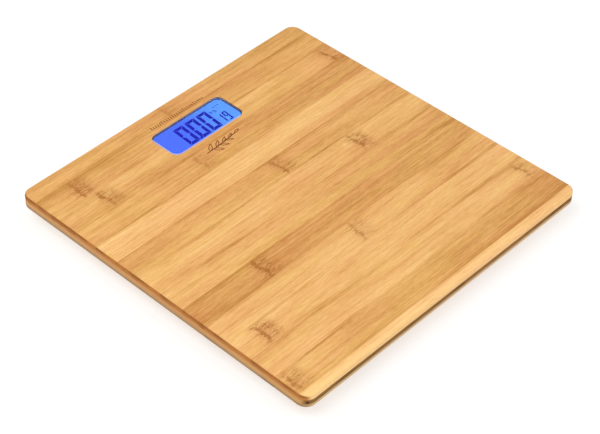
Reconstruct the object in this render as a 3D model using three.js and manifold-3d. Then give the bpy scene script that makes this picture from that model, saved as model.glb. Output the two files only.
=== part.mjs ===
// A battery-powered electronic bathroom scale with a square bamboo platform.
//
// The platform is a three-ply bamboo board that stands on four load-cell feet. A
// milled pocket under its back edge holds the display, the circuit board and the
// battery bay, and four grooves lead the load cells' wires to it.
//
// Frame: millimetres, +Z up, origin on the floor under the centre of the platform.
// +Y points to the edge that carries the display, and +X to a standing user's right.

import * as THREE from "three";
import { mergeVertices } from "three/addons/utils/BufferGeometryUtils.js";
import Module from "manifold-3d";

const wasm = await Module();
wasm.setup();

// ---------------------------------------------------------------- driving sizes

const SIDE = 300; // the platform is a square of this side
const PLY = 4; // thickness of each of its three plies
const CORNER_RADIUS = 9;
const EDGE_RADIUS = 2; // round-over of the upper and lower edges
const GROUND_GAP = 12; // floor to the underside of the platform
const CORE_Z = GROUND_GAP + PLY; // underside of the core ply
const FACE_Z = CORE_Z + PLY; // underside of the face ply
const TOP_Z = FACE_Z + PLY;

const FIT = 0.3; // clearance round a fixed piece in its seat

const WINDOW = { width: 76, depth: 32, radius: 6.5, y: 110.5 }; // opening in the face ply
const LIP = 1.8; // face ply left standing round that opening
const MODULE_SEAT = { width: 82, depth: 38, radius: 2 }; // display seat under the lip
const POCKET = { width: 104, depth: 68, radius: 4, y: 97 }; // opening in the two lower plies

const LENS_RECESS = 0.5; // top of the window below the platform's surface
const LENS_FLANGE = 0.6;
const GASKET = 0.3;
const GLASS = 1.1; // each of the two plates of the display
const BACKLIGHT = 2.8;
const BOARD = 1.6; // circuit board

const HOUSING = { width: 124, depth: 84, radius: 6, y: 97, thickness: 2 };
const HOUSING_SCREWS = { x: 57.5, y: [59, 135] };

const CELL_RADIUS = 5.25; // AAA cell
const CELL_BODY = 43.7; // cell without its button
const CELL_BUTTON = { radius: 1.9, height: 0.8 };
const CELL_ROWS = [71.6, 82.6]; // y of the two cells
const CELL_Z = 13.75;
const CELL_END = 20.5; // distance of a cell's flat end from the bay's middle
const BAY = { width: 54, y0: 66, y1: 88.2, roof: 0.7, wall: 1.2 };
const RIM = { width: 64, depth: 29, radius: 3, y: 77, bottom: 6.6 };
const DOOR = { width: 57.4, depth: 24.4, radius: 1.6, thickness: 1.4 };
const DOOR_SEAT = { width: 58, depth: 25, radius: 2, top: 8.2 };

const BUTTON = { x: 37.5, y: 79, radius: 3.3, flange: 4.3 };
const BUTTON_TRAVEL = 0.4;

const FOOT_OFFSET = 112; // each foot's centre from the platform's centre, along x and y
const SKIRT = { outer: 21, inner: 19.2, bottom: 4.6, lip: 0.8, lipRadius: 17.4 };
const CARRIER_TOP = 1.6; // wall between a load cell and the platform
const EAR = { reach: 27, radius: 4.6 }; // screw ears of a foot carrier
const CELL_PLATE = { side: 27, thickness: 1.6, z: 7.4 }; // load cell
const PAD = { radius: 15.5, height: 2.2, seat: 1.2 };

const GROOVE = { width: 5, depth: 2.4, start: 10 }; // start: distance from the foot's centre
const RIBBON = { wires: 3, radius: 0.55, clearance: 0.25, steps: 21 };
const TAPE = { length: 16, width: 22, thickness: 0.25 };

const SCREW = {
  shank: 1.3,
  head: 2.7,
  headHeight: 1.6,
  bore: 1.6,
  length: 6.5,
  point: 1.6,
  recess: { length: 3, width: 0.7, depth: 0.7 },
};

const ROUND = 36; // sides of the larger round pieces
const SMALL_ROUND = 10; // sides of screws, pegs and pilot holes
const CORNER_STEPS = 6; // steps of each large round corner
const SMALL_CORNER_STEPS = 2;
const ROUND_OVER_STEPS = 3; // steps of the platform's rounded edges
const OVER = 1; // how far a cutter passes beyond what it cuts
const HAIR = 0.1; // gap between pieces that all but touch

// ---------------------------------------------------------------- materials

const finish = (color, roughness, metalness = 0, extra = {}) =>
  new THREE.MeshStandardMaterial({ color, roughness, metalness, ...extra });

const MATERIALS = {
  bambooFace: finish(0xdfae70, 0.5),
  bambooCore: finish(0xb98a52, 0.6),
  bambooBack: finish(0xd0a468, 0.55),
  clear: finish(0xf2f7ff, 0.05, 0, { transparent: true, opacity: 0.3 }),
  blackFoam: finish(0x101114, 0.9),
  displayGlass: finish(0x3f63ff, 0.1),
  lightGuide: finish(0x5d86ff, 0.4, 0, { emissive: 0x2f55ff }),
  elastomer: finish(0x2a2c30, 0.8),
  circuitBoard: finish(0x1d6b3c, 0.5),
  epoxy: finish(0x121212, 0.35),
  nickel: finish(0xb9bcc0, 0.3, 1),
  steel: finish(0x9ea2a6, 0.35, 1),
  whitePlastic: finish(0xe9e8e3, 0.45),
  greyPlastic: finish(0xc9c9c4, 0.5),
  darkPlastic: finish(0x2b2c2e, 0.5),
  rubber: finish(0x8f9194, 0.85),
  cellLabel: finish(0x2d5a3a, 0.4, 0.2),
  ribbon: finish(0xb7372f, 0.5),
  blackLead: finish(0x17181a, 0.5),
  tape: finish(0xcdb98c, 0.8),
};

// ---------------------------------------------------------------- solid helpers

/** The closed solid of a three.js geometry. */
function solid(geometry) {
  const bare = geometry.index ? geometry.toNonIndexed() : geometry.clone();
  bare.deleteAttribute("normal");
  bare.deleteAttribute("uv");
  const merged = mergeVertices(bare, 1e-4);
  return new wasm.Manifold(
    new wasm.Mesh({
      numProp: 3,
      vertProperties: merged.attributes.position.array,
      triVerts: new Uint32Array(merged.index.array),
    }),
  );
}

/** The three.js geometry of a solid. */
function geometryOf(made) {
  const mesh = made.getMesh();
  const geometry = new THREE.BufferGeometry();
  geometry.setAttribute(
    "position",
    new THREE.BufferAttribute(new Float32Array(mesh.vertProperties), 3),
  );
  geometry.setIndex(new THREE.BufferAttribute(new Uint32Array(mesh.triVerts), 1));
  geometry.computeVertexNormals();
  return geometry;
}

/** A rectangle about (x, y) with round corners. */
function roundedRect(width, depth, radius, x = 0, y = 0) {
  const [right, back] = [width / 2 - radius, depth / 2 - radius];
  const shape = new THREE.Shape();
  const corners = [
    [right, back],
    [-right, back],
    [-right, -back],
    [right, -back],
  ];
  corners.forEach(([cx, cy], i) => {
    const start = (i * Math.PI) / 2;
    shape.absarc(x + cx, y + cy, radius, start, start + Math.PI / 2, false);
  });
  shape.closePath();
  return shape;
}

/** A flat shape made solid from z0 to z1. */
function slab(shape, z0, z1, curveSegments = SMALL_CORNER_STEPS) {
  const geometry = new THREE.ExtrudeGeometry(shape, {
    depth: z1 - z0,
    bevelEnabled: false,
    curveSegments,
  });
  return solid(geometry.translate(0, 0, z0));
}

/** A box given by its lowest and highest corners. */
function block([x0, y0, z0], [x1, y1, z1]) {
  const geometry = new THREE.BoxGeometry(x1 - x0, y1 - y0, z1 - z0);
  return solid(geometry.translate((x0 + x1) / 2, (y0 + y1) / 2, (z0 + z1) / 2));
}

/** An upright round bar, or a cone where the two radii differ. */
function bar(radius, z0, z1, x = 0, y = 0, sides = ROUND, topRadius = radius) {
  const geometry = new THREE.CylinderGeometry(topRadius, radius, z1 - z0, sides);
  return solid(geometry.rotateX(Math.PI / 2).translate(x, y, (z0 + z1) / 2));
}

/** A turned solid about Z, from a profile of [radius, z] that starts and ends on the axis. */
function turned(profile, sides = ROUND) {
  const points = profile.map(([r, z]) => new THREE.Vector2(r, z));
  return solid(new THREE.LatheGeometry(points, sides).rotateX(Math.PI / 2));
}

/** A route through points that keeps what is swept along it level across its width. */
class LevelRoute extends THREE.CatmullRomCurve3 {
  getSpacedPoints(divisions) {
    return this.getPoints(divisions);
  }

  computeFrenetFrames(segments) {
    const up = new THREE.Vector3(0, 0, 1);
    const frames = { tangents: [], normals: [], binormals: [] };
    for (let i = 0; i <= segments; i += 1) {
      const tangent = this.getTangent(i / segments);
      const across = up.clone().cross(tangent).normalize();
      frames.tangents.push(tangent);
      frames.binormals.push(across);
      frames.normals.push(across.clone().cross(tangent));
    }
    return frames;
  }
}

/** A bar of constant section swept along a route. */
function swept(section, extrudePath, steps, curveSegments) {
  return solid(
    new THREE.ExtrudeGeometry(section, { extrudePath, steps, curveSegments }),
  );
}

/** The first solid and all the others joined to it. */
const joined = (first, ...others) => others.reduce((all, one) => all.add(one), first);

/** The first solid with all the others cut from it. */
const cut = (first, ...others) => others.reduce((rest, one) => rest.subtract(one), first);

/** A named mesh. */
function piece(name, made, material) {
  const mesh = new THREE.Mesh(geometryOf(made), material);
  mesh.name = name;
  return mesh;
}

// ---------------------------------------------------------------- feet and wire routes

const LEFT = -1;
const RIGHT = 1;
const FRONT = -1;
const BACK = 1;

/** Where each corner's wires are soldered to the circuit board. */
const SOLDER_PLACES = {
  front_left: [-36, 97],
  front_right: [41, 70],
  back_left: [-39.5, FOOT_OFFSET],
  back_right: [39.5, FOOT_OFFSET],
};
const LEAD_ENTRY = 44; // x where the front corners' wires enter the pocket

/** The four corners: a name, the foot's centre and the way its wires leave. */
const CORNERS = [
  { name: "front_left", side: LEFT, end: FRONT },
  { name: "front_right", side: RIGHT, end: FRONT },
  { name: "back_left", side: LEFT, end: BACK },
  { name: "back_right", side: RIGHT, end: BACK },
].map((corner) => {
  const centre = new THREE.Vector2(corner.side * FOOT_OFFSET, corner.end * FOOT_OFFSET);
  const pocketEdge =
    corner.end === BACK
      ? new THREE.Vector2((corner.side * POCKET.width) / 2, FOOT_OFFSET)
      : new THREE.Vector2(corner.side * LEAD_ENTRY, POCKET.y - POCKET.depth / 2);
  const solder = new THREE.Vector2(...SOLDER_PLACES[corner.name]);
  const way = pocketEdge.clone().sub(centre).normalize();
  return { ...corner, centre, pocketEdge, solder, way };
});

/** A groove for one corner's wires, milled from the platform's underside. */
function grooveCut({ centre, pocketEdge, way }) {
  const length = centre.distanceTo(pocketEdge) - GROOVE.start + GROOVE.width / 2;
  const middle = centre.clone().addScaledVector(way, GROOVE.start + length / 2);
  const geometry = new THREE.BoxGeometry(length, GROOVE.width, GROOVE.depth + OVER);
  geometry.rotateZ(way.angle());
  return solid(
    geometry.translate(middle.x, middle.y, GROUND_GAP + (GROOVE.depth - OVER) / 2),
  );
}

// ---------------------------------------------------------------- platform

/** Every place where a screw enters the platform. */
function screwPlaces() {
  const ears = CORNERS.flatMap(({ centre, way }) =>
    [1, -1].map((hand) => [
      centre.x - way.y * EAR.reach * hand,
      centre.y + way.x * EAR.reach * hand,
    ]),
  );
  const housing = HOUSING_SCREWS.y.flatMap((y) => [
    [-HOUSING_SCREWS.x, y],
    [HOUSING_SCREWS.x, y],
  ]);
  return { ears, housing };
}

/** The whole board with its rounded edges, before it is divided into plies. */
function boardBlank() {
  const shape = roundedRect(
    SIDE - 2 * EDGE_RADIUS,
    SIDE - 2 * EDGE_RADIUS,
    CORNER_RADIUS - EDGE_RADIUS,
  );
  const geometry = new THREE.ExtrudeGeometry(shape, {
    depth: TOP_Z - GROUND_GAP - 2 * EDGE_RADIUS,
    bevelThickness: EDGE_RADIUS,
    bevelSize: EDGE_RADIUS,
    bevelSegments: ROUND_OVER_STEPS,
    curveSegments: CORNER_STEPS,
  });
  return solid(geometry.translate(0, 0, GROUND_GAP + EDGE_RADIUS));
}

function platform() {
  const blank = boardBlank();
  const layer = (z0) =>
    blank.intersect(block([-SIDE, -SIDE, z0], [SIDE, SIDE, z0 + PLY]));
  const pocket = slab(
    roundedRect(POCKET.width, POCKET.depth, POCKET.radius, 0, POCKET.y),
    GROUND_GAP - OVER,
    FACE_Z,
  );
  const opening = slab(
    roundedRect(WINDOW.width, WINDOW.depth, WINDOW.radius, 0, WINDOW.y),
    FACE_Z - OVER,
    TOP_Z + OVER,
    CORNER_STEPS,
  );
  const seat = slab(
    roundedRect(MODULE_SEAT.width, MODULE_SEAT.depth, MODULE_SEAT.radius, 0, WINDOW.y),
    FACE_Z - OVER,
    TOP_Z - LIP,
  );
  const { ears, housing } = screwPlaces();
  const pilots = [...ears, ...housing].map(([x, y]) =>
    bar(SCREW.bore, GROUND_GAP - OVER, GROUND_GAP + SCREW.length, x, y, SMALL_ROUND),
  );
  return [
    piece("platform_face_ply", cut(layer(FACE_Z), opening, seat), MATERIALS.bambooFace),
    piece("platform_core_ply", cut(layer(CORE_Z), pocket, ...pilots), MATERIALS.bambooCore),
    piece(
      "platform_back_ply",
      cut(layer(GROUND_GAP), pocket, ...CORNERS.map(grooveCut), ...pilots),
      MATERIALS.bambooBack,
    ),
  ];
}

// ---------------------------------------------------------------- display

const LENS_TOP = TOP_Z - LENS_RECESS;
const FLANGE_TOP = TOP_Z - LIP;
const FLANGE_BOTTOM = FLANGE_TOP - LENS_FLANGE;
const FRONT_GLASS_TOP = FLANGE_BOTTOM - GASKET;
const REAR_GLASS_TOP = FRONT_GLASS_TOP - GLASS;
const BACKLIGHT_TOP = REAR_GLASS_TOP - GLASS;
const BOARD_TOP = BACKLIGHT_TOP - BACKLIGHT;
const BOARD_BOTTOM = BOARD_TOP - BOARD;

const LCD = { width: 80, depth: 36, ledge: 3.4 }; // ledge: where the front plate overhangs
const GASKET_BORDER = 1; // how far the foam shows inside the window's edge
const GUIDE_INSET = { end: 1, front: 0.5 }; // light guide inside the rear plate's outline
const LAMPS = { width: 2, inset: 3, below: 0.4 }; // lamp strip at the guide's right-hand end
const ZEBRA = { end: 5, front: 0.6, back: 2.9 }; // connector strip within the ledge

function display() {
  const lens = joined(
    slab(
      roundedRect(
        MODULE_SEAT.width - 2 * FIT,
        MODULE_SEAT.depth - 2 * FIT,
        MODULE_SEAT.radius,
        0,
        WINDOW.y,
      ),
      FLANGE_BOTTOM,
      FLANGE_TOP,
    ),
    slab(
      roundedRect(
        WINDOW.width - 2 * FIT,
        WINDOW.depth - 2 * FIT,
        WINDOW.radius - FIT,
        0,
        WINDOW.y,
      ),
      FLANGE_BOTTOM,
      LENS_TOP,
      CORNER_STEPS,
    ),
  );
  const gasket = cut(
    slab(
      roundedRect(LCD.width, LCD.depth, GASKET_BORDER, 0, WINDOW.y),
      FRONT_GLASS_TOP,
      FLANGE_BOTTOM,
    ),
    slab(
      roundedRect(
        WINDOW.width - 2 * GASKET_BORDER,
        WINDOW.depth - 2 * GASKET_BORDER,
        WINDOW.radius - GASKET_BORDER,
        0,
        WINDOW.y,
      ),
      FRONT_GLASS_TOP - OVER,
      FLANGE_BOTTOM + OVER,
      CORNER_STEPS,
    ),
  );
  const [x, front, back] = [LCD.width / 2, WINDOW.y - LCD.depth / 2, WINDOW.y + LCD.depth / 2];
  const guideFront = front + LCD.ledge + GUIDE_INSET.front;
  const guideEnd = x - GUIDE_INSET.end;
  return [
    piece("display_window", lens, MATERIALS.clear),
    piece("display_gasket", gasket, MATERIALS.blackFoam),
    piece(
      "lcd_front_glass",
      block([-x, front, REAR_GLASS_TOP], [x, back, FRONT_GLASS_TOP]),
      MATERIALS.displayGlass,
    ),
    piece(
      "lcd_rear_glass",
      block([-x, front + LCD.ledge, BACKLIGHT_TOP], [x, back, REAR_GLASS_TOP]),
      MATERIALS.displayGlass,
    ),
    piece(
      "backlight_panel",
      block(
        [-guideEnd, guideFront, BOARD_TOP],
        [guideEnd - LAMPS.width - FIT, back, BACKLIGHT_TOP],
      ),
      MATERIALS.lightGuide,
    ),
    piece(
      "backlight_led_bar",
      block(
        [guideEnd - LAMPS.width, guideFront + LAMPS.inset, BOARD_TOP],
        [guideEnd, back - LAMPS.inset, BACKLIGHT_TOP - LAMPS.below],
      ),
      MATERIALS.whitePlastic,
    ),
    piece(
      "zebra_strip",
      block(
        [-x + ZEBRA.end, front + ZEBRA.front, BOARD_TOP],
        [x - ZEBRA.end, front + ZEBRA.back, REAR_GLASS_TOP],
      ),
      MATERIALS.elastomer,
    ),
  ];
}

// ---------------------------------------------------------------- circuit board

/** Pegs of the housing that locate the circuit board. */
const PEGS = [
  [-42, 128],
  [42, 128],
  [-42, 93.5],
];
const PEG = { radius: 1.1, post: 2.2, proud: 0.5 };

/** The circuit board's outline: a wide part behind the battery bay and an arm beside it. */
const BOARD_OUTLINE = [
  [-44.5, 91.2],
  [31, 91.2],
  [31, 66.5],
  [44.5, 66.5],
  [44.5, 130],
  [-44.5, 130],
];
const BLOB = { x: -12, y: 108, radius: 5.8, height: 1.3 };
const CRYSTAL = { x: 4, y: 103, radius: 1, length: 6, gap: 0.05 };
const CAPACITOR = { x0: 14, x1: 21.3, y0: 106, y1: 110.3, height: 2 };
const SWITCH = { half: 3, height: 2.2, bore: 1.9, boreDepth: 1.4, slack: 0.2 };

/** The drop of resin over the chip, hanging from the board's underside. */
function chipBlob() {
  const { radius, height } = BLOB;
  return turned([
    [0, -height],
    [0.59 * radius, -0.85 * height],
    [0.88 * radius, -0.45 * height],
    [radius, 0],
    [0, 0],
  ]).translate([BLOB.x, BLOB.y, BOARD_BOTTOM]);
}

function circuitBoard() {
  const outline = new THREE.Shape();
  outline.setFromPoints(BOARD_OUTLINE.map(([x, y]) => new THREE.Vector2(x, y)));
  const holes = PEGS.map(([x, y]) =>
    bar(PEG.radius + FIT, BOARD_BOTTOM - OVER, BOARD_TOP + OVER, x, y, SMALL_ROUND),
  );
  const can = new THREE.CylinderGeometry(
    CRYSTAL.radius,
    CRYSTAL.radius,
    CRYSTAL.length,
    SMALL_ROUND,
  );
  can.translate(CRYSTAL.x, CRYSTAL.y, BOARD_BOTTOM - CRYSTAL.radius - CRYSTAL.gap);
  const capacitor = block(
    [CAPACITOR.x0, CAPACITOR.y0, BOARD_BOTTOM - CAPACITOR.height],
    [CAPACITOR.x1, CAPACITOR.y1, BOARD_BOTTOM],
  );
  const bodyBottom = BOARD_BOTTOM - SWITCH.height;
  const boreTop = bodyBottom + SWITCH.boreDepth;
  const body = cut(
    block(
      [BUTTON.x - SWITCH.half, BUTTON.y - SWITCH.half, bodyBottom],
      [BUTTON.x + SWITCH.half, BUTTON.y + SWITCH.half, BOARD_BOTTOM],
    ),
    bar(SWITCH.bore, bodyBottom - OVER, boreTop, BUTTON.x, BUTTON.y),
  );
  const plunger = bar(
    SWITCH.bore - FIT,
    GROUND_GAP,
    boreTop - BUTTON_TRAVEL - SWITCH.slack,
    BUTTON.x,
    BUTTON.y,
  );
  return [
    piece(
      "main_board",
      cut(slab(outline, BOARD_BOTTOM, BOARD_TOP), ...holes),
      MATERIALS.circuitBoard,
    ),
    piece("chip_blob", chipBlob(), MATERIALS.epoxy),
    piece("quartz_crystal", solid(can), MATERIALS.nickel),
    piece("supply_capacitor", capacitor, MATERIALS.darkPlastic),
    piece("unit_switch_body", body, MATERIALS.darkPlastic),
    piece("unit_switch_plunger", plunger, MATERIALS.greyPlastic),
  ];
}

// ---------------------------------------------------------------- housing, door and button

const PLATE_BOTTOM = GROUND_GAP - HOUSING.thickness;
const BAY_TOP = FACE_Z - HAIR;
const TAB = { y: 7.5, width: 5, length: 1.5, root: 2.4, z0: 7.6, z1: 8.6 }; // hinge tabs of the door
const TAB_SLOT = { below: 0.2, top: 9.6 }; // room for the tabs to turn in
const FINGER_NOTCH = { end: 35, half: 6, top: 7.8 }; // hollow beside the door's free end
const NUB = { half: 4, root: 1, proud: 0.25, above: 0.6 };
const THUMB = { insets: [5, 7.4, 9.8], width: 1.2, half: 5, depth: 0.5 }; // grooves to push on
const CAP = { proud: 0.4, flangeHeight: 0.8, top: 13 }; // unit button and the room above it
const SOLDER_TAB = { z: 16.2, thickness: 0.4, half: 1 }; // where the battery's leads start
const LEAD_RADIUS = 0.6;
const WALL_FACE = -BAY.width / 2 - BAY.wall; // outer face of the bay's left-hand wall
const LEADS = { positive: WALL_FACE - 1, negative: WALL_FACE - 2.8 }; // x of the leads

/** The openings of the battery bay: its cavity, the door's seat, its tabs and the contacts'. */
function bayCuts() {
  const bayX = BAY.width / 2;
  const seatX = DOOR_SEAT.width / 2;
  const cavity = block([-bayX, BAY.y0, RIM.bottom - OVER], [bayX, BAY.y1, BAY_TOP - BAY.roof]);
  const doorSeat = slab(
    roundedRect(DOOR_SEAT.width, DOOR_SEAT.depth, DOOR_SEAT.radius, 0, RIM.y),
    RIM.bottom - OVER,
    DOOR_SEAT.top,
  );
  const tabSlots = [1, -1].map((hand) => {
    const y = RIM.y + hand * TAB.y;
    const half = TAB.width / 2 + FIT;
    return block(
      [-seatX - TAB.length, y - half, TAB.z0 - TAB_SLOT.below],
      [-bayX + OVER, y + half, TAB_SLOT.top],
    );
  });
  const fingerNotch = block(
    [seatX - OVER, RIM.y - FINGER_NOTCH.half, RIM.bottom - OVER],
    [FINGER_NOTCH.end, RIM.y + FINGER_NOTCH.half, FINGER_NOTCH.top],
  );
  const tabExits = CELL_ROWS.map((y) =>
    block(
      [WALL_FACE - OVER, y - SOLDER_TAB.half - FIT, SOLDER_TAB.z - FIT],
      [-bayX + OVER, y + SOLDER_TAB.half + FIT, SOLDER_TAB.z + SOLDER_TAB.thickness + FIT],
    ),
  );
  return [cavity, doorSeat, ...tabSlots, ...tabExits, fingerNotch];
}

function housing() {
  const plate = slab(
    roundedRect(HOUSING.width, HOUSING.depth, HOUSING.radius, 0, HOUSING.y),
    PLATE_BOTTOM,
    GROUND_GAP,
    CORNER_STEPS,
  );
  const rim = slab(
    roundedRect(RIM.width, RIM.depth, RIM.radius, 0, RIM.y),
    RIM.bottom,
    PLATE_BOTTOM,
    CORNER_STEPS,
  );
  const bayX = BAY.width / 2;
  const bay = block(
    [-bayX - BAY.wall, BAY.y0 - BAY.wall, GROUND_GAP],
    [bayX + BAY.wall, BAY.y1 + BAY.wall, BAY_TOP],
  );
  const buttonHole = bar(
    BUTTON.radius + FIT,
    PLATE_BOTTOM - OVER,
    GROUND_GAP,
    BUTTON.x,
    BUTTON.y,
  );
  const counterbore = bar(
    BUTTON.flange + FIT,
    GROUND_GAP - CAP.flangeHeight - HAIR,
    CAP.top,
    BUTTON.x,
    BUTTON.y,
  );
  const { housing: places } = screwPlaces();
  const bores = places.map(([x, y]) =>
    bar(SCREW.bore, PLATE_BOTTOM - OVER, GROUND_GAP + OVER, x, y, SMALL_ROUND),
  );
  const posts = PEGS.map(([x, y]) =>
    joined(
      bar(PEG.post, GROUND_GAP - PEG.proud, BOARD_BOTTOM, x, y, SMALL_ROUND),
      bar(PEG.radius, GROUND_GAP, BOARD_TOP + PEG.proud, x, y, SMALL_ROUND),
    ),
  );
  return cut(
    joined(plate, rim, bay, ...posts),
    ...bayCuts(),
    buttonHole,
    counterbore,
    ...bores,
  );
}

/** The battery door: a plate with two hinge tabs at one end and a snap nub at the other. */
function batteryDoor() {
  const top = RIM.bottom + DOOR.thickness;
  const [x, y] = [DOOR.width / 2, RIM.y];
  const plate = slab(roundedRect(DOOR.width, DOOR.depth, DOOR.radius, 0, y), RIM.bottom, top);
  const tabs = [1, -1].map((hand) => {
    const middle = y + hand * TAB.y;
    return block(
      [-x - TAB.length, middle - TAB.width / 2, TAB.z0],
      [-x + TAB.root, middle + TAB.width / 2, TAB.z1],
    );
  });
  const nub = block(
    [x - NUB.root, y - NUB.half, RIM.bottom + NUB.above],
    [x + NUB.proud, y + NUB.half, top],
  );
  const thumbGrooves = THUMB.insets.map((inset) =>
    block(
      [x - inset - THUMB.width, y - THUMB.half, RIM.bottom - OVER],
      [x - inset, y + THUMB.half, RIM.bottom + THUMB.depth],
    ),
  );
  return cut(joined(plate, ...tabs, nub), ...thumbGrooves);
}

/** The button that changes the unit: a cap with a flange that the housing keeps in. */
function unitButton() {
  return joined(
    bar(BUTTON.radius, PLATE_BOTTOM - CAP.proud, GROUND_GAP, BUTTON.x, BUTTON.y),
    bar(BUTTON.flange, GROUND_GAP - CAP.flangeHeight, GROUND_GAP, BUTTON.x, BUTTON.y),
  );
}

// ---------------------------------------------------------------- cells and contacts

const CELL_ENDS = { flat: 4.4, bevel: 0.6, shoulder: 4.7, shoulderHeight: 1 };
const SPRING = { turns: 2.5, wire: 0.4, wide: 3.6, narrow: 2.2, perTurn: 8, gap: 0.2 };
const CONTACT = { half: 4.4, inner: 0.5, outer: HAIR, margin: 4.6 }; // plates on the end walls
const DIMPLE = { wide: 2.6, narrow: 1.4, root: 0.2, gap: 0.15 };

/** An AAA cell along X. Its button end points to +X, or to -X if hand is -1. */
function dryCell(y, hand) {
  const made = turned([
    [0, 0],
    [CELL_ENDS.flat, 0],
    [CELL_RADIUS, CELL_ENDS.bevel],
    [CELL_RADIUS, CELL_BODY - CELL_ENDS.shoulderHeight],
    [CELL_ENDS.shoulder, CELL_BODY],
    [CELL_BUTTON.radius, CELL_BODY],
    [CELL_BUTTON.radius, CELL_BODY + CELL_BUTTON.height],
    [0, CELL_BODY + CELL_BUTTON.height],
  ]);
  return made.rotate([0, hand * 90, 0]).translate([-hand * CELL_END, y, CELL_Z]);
}

/** A conical contact spring along X, from the bay's end wall towards the cell. */
function contactSpring(y, hand) {
  const { turns, wire, wide, narrow, perTurn, gap } = SPRING;
  const from = BAY.width / 2 - CONTACT.inner - wire / 2 + HAIR / 2;
  const to = CELL_END + wire + gap;
  const points = [];
  for (let i = 0; i <= turns * perTurn; i += 1) {
    const share = i / (turns * perTurn);
    const angle = (i / perTurn) * 2 * Math.PI;
    const radius = wide + (narrow - wide) * share;
    points.push(
      new THREE.Vector3(
        hand * (from + (to - from) * share),
        y + radius * Math.cos(angle),
        CELL_Z + radius * Math.sin(angle),
      ),
    );
  }
  const section = new THREE.Shape().absarc(0, 0, wire, 0, 2 * Math.PI, false);
  const route = new THREE.CatmullRomCurve3(points);
  return swept(section, route, points.length * 2, SMALL_CORNER_STEPS + 1);
}

/** The tab of a contact that passes through the bay's left-hand wall, as far as x. */
function solderTab(y, x) {
  const { z, thickness, half } = SOLDER_TAB;
  return block([x, y - half, z], [-BAY.width / 2 + FIT, y + half, z + thickness]);
}

/** A contact plate on the bay's end wall, over the y range given. */
function contactPlate(y0, y1, hand) {
  const wallFace = BAY.width / 2;
  const [inner, outer] = [wallFace - CONTACT.inner, wallFace - CONTACT.outer].map(
    (x) => hand * x,
  );
  return block(
    [Math.min(inner, outer), y0, CELL_Z - CONTACT.half],
    [Math.max(inner, outer), y1, CELL_Z + CONTACT.half],
  );
}

/** A pressed dimple that meets a cell's button. */
function contactDimple(y, hand) {
  const wallFace = BAY.width / 2 - DIMPLE.root;
  const buttonFace = CELL_BODY + CELL_BUTTON.height - CELL_END;
  const length = wallFace - buttonFace - DIMPLE.gap;
  const cone = new THREE.CylinderGeometry(DIMPLE.wide, DIMPLE.narrow, length, SMALL_ROUND);
  cone.rotateZ((-hand * Math.PI) / 2);
  return solid(cone.translate(hand * (wallFace - length / 2), y, CELL_Z));
}

function batteries() {
  const [frontRow, backRow] = CELL_ROWS;
  const half = CONTACT.margin;
  return [
    piece("battery_front", dryCell(frontRow, RIGHT), MATERIALS.cellLabel),
    piece("battery_back", dryCell(backRow, LEFT), MATERIALS.cellLabel),
    piece(
      "negative_contact",
      joined(
        contactPlate(frontRow - half, frontRow + half, LEFT),
        contactSpring(frontRow, LEFT),
        solderTab(frontRow, LEADS.negative - LEAD_RADIUS),
      ),
      MATERIALS.nickel,
    ),
    piece(
      "positive_contact",
      joined(
        contactPlate(backRow - half, backRow + half, LEFT),
        contactDimple(backRow, LEFT),
        solderTab(backRow, LEADS.positive - LEAD_RADIUS),
      ),
      MATERIALS.nickel,
    ),
    piece(
      "bridge_contact",
      joined(
        contactPlate(frontRow - half, backRow + half, RIGHT),
        contactSpring(backRow, RIGHT),
        contactDimple(frontRow, RIGHT),
      ),
      MATERIALS.nickel,
    ),
  ];
}

const BATTERY_LEAD = {
  below: 0.15, // gap under the board
  fromTab: [-1, 1.5, 5], // distances from the tab where it starts, bends and is down
  ends: [92, 95.5], // y where it meets the board and where it stops
  steps: 12,
};

/** A lead from a contact's solder tab, beside the bay's wall, to the circuit board. */
function batteryLead(name, x, y, material) {
  const under = BOARD_BOTTOM - LEAD_RADIUS - BATTERY_LEAD.below;
  const start = SOLDER_TAB.z - LEAD_RADIUS - HAIR;
  const [atTab, bend, down] = BATTERY_LEAD.fromTab;
  const route = new LevelRoute([
    new THREE.Vector3(x, y + atTab, start),
    new THREE.Vector3(x, y + bend, start),
    new THREE.Vector3(x, y + down, under),
    ...BATTERY_LEAD.ends.map((end) => new THREE.Vector3(x, end, under)),
  ]);
  const section = new THREE.Shape().absarc(0, 0, LEAD_RADIUS, 0, 2 * Math.PI, false);
  return piece(name, swept(section, route, BATTERY_LEAD.steps, 4), material);
}

// ---------------------------------------------------------------- screws

/** A pan-head screw driven upwards at (x, y), with its head under the plane z. */
function screw(name, x, y, z) {
  const { shank, head, headHeight, length, point, recess } = SCREW;
  const body = turned(
    [
      [0, z - headHeight],
      [head * 0.7, z - headHeight],
      [head, z - headHeight * 0.55],
      [head, z],
      [shank, z],
      [shank, z + length - point],
      [0, z + length],
    ],
    SMALL_ROUND,
  );
  const slot = (w, d) =>
    block(
      [-w / 2, -d / 2, z - headHeight - OVER],
      [w / 2, d / 2, z - headHeight + recess.depth],
    );
  const slots = [slot(recess.length, recess.width), slot(recess.width, recess.length)];
  return piece(name, cut(body, ...slots).translate([x, y, 0]), MATERIALS.steel);
}

function screws() {
  const { ears, housing: places } = screwPlaces();
  const names = CORNERS.flatMap(({ name }) => [`${name}_foot_screw_1`, `${name}_foot_screw_2`]);
  return [
    ...ears.map(([x, y], i) => screw(names[i], x, y, GROUND_GAP - CARRIER_TOP)),
    ...places.map(([x, y], i) => screw(`housing_screw_${i + 1}`, x, y, PLATE_BOTTOM)),
  ];
}

// ---------------------------------------------------------------- feet

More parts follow.
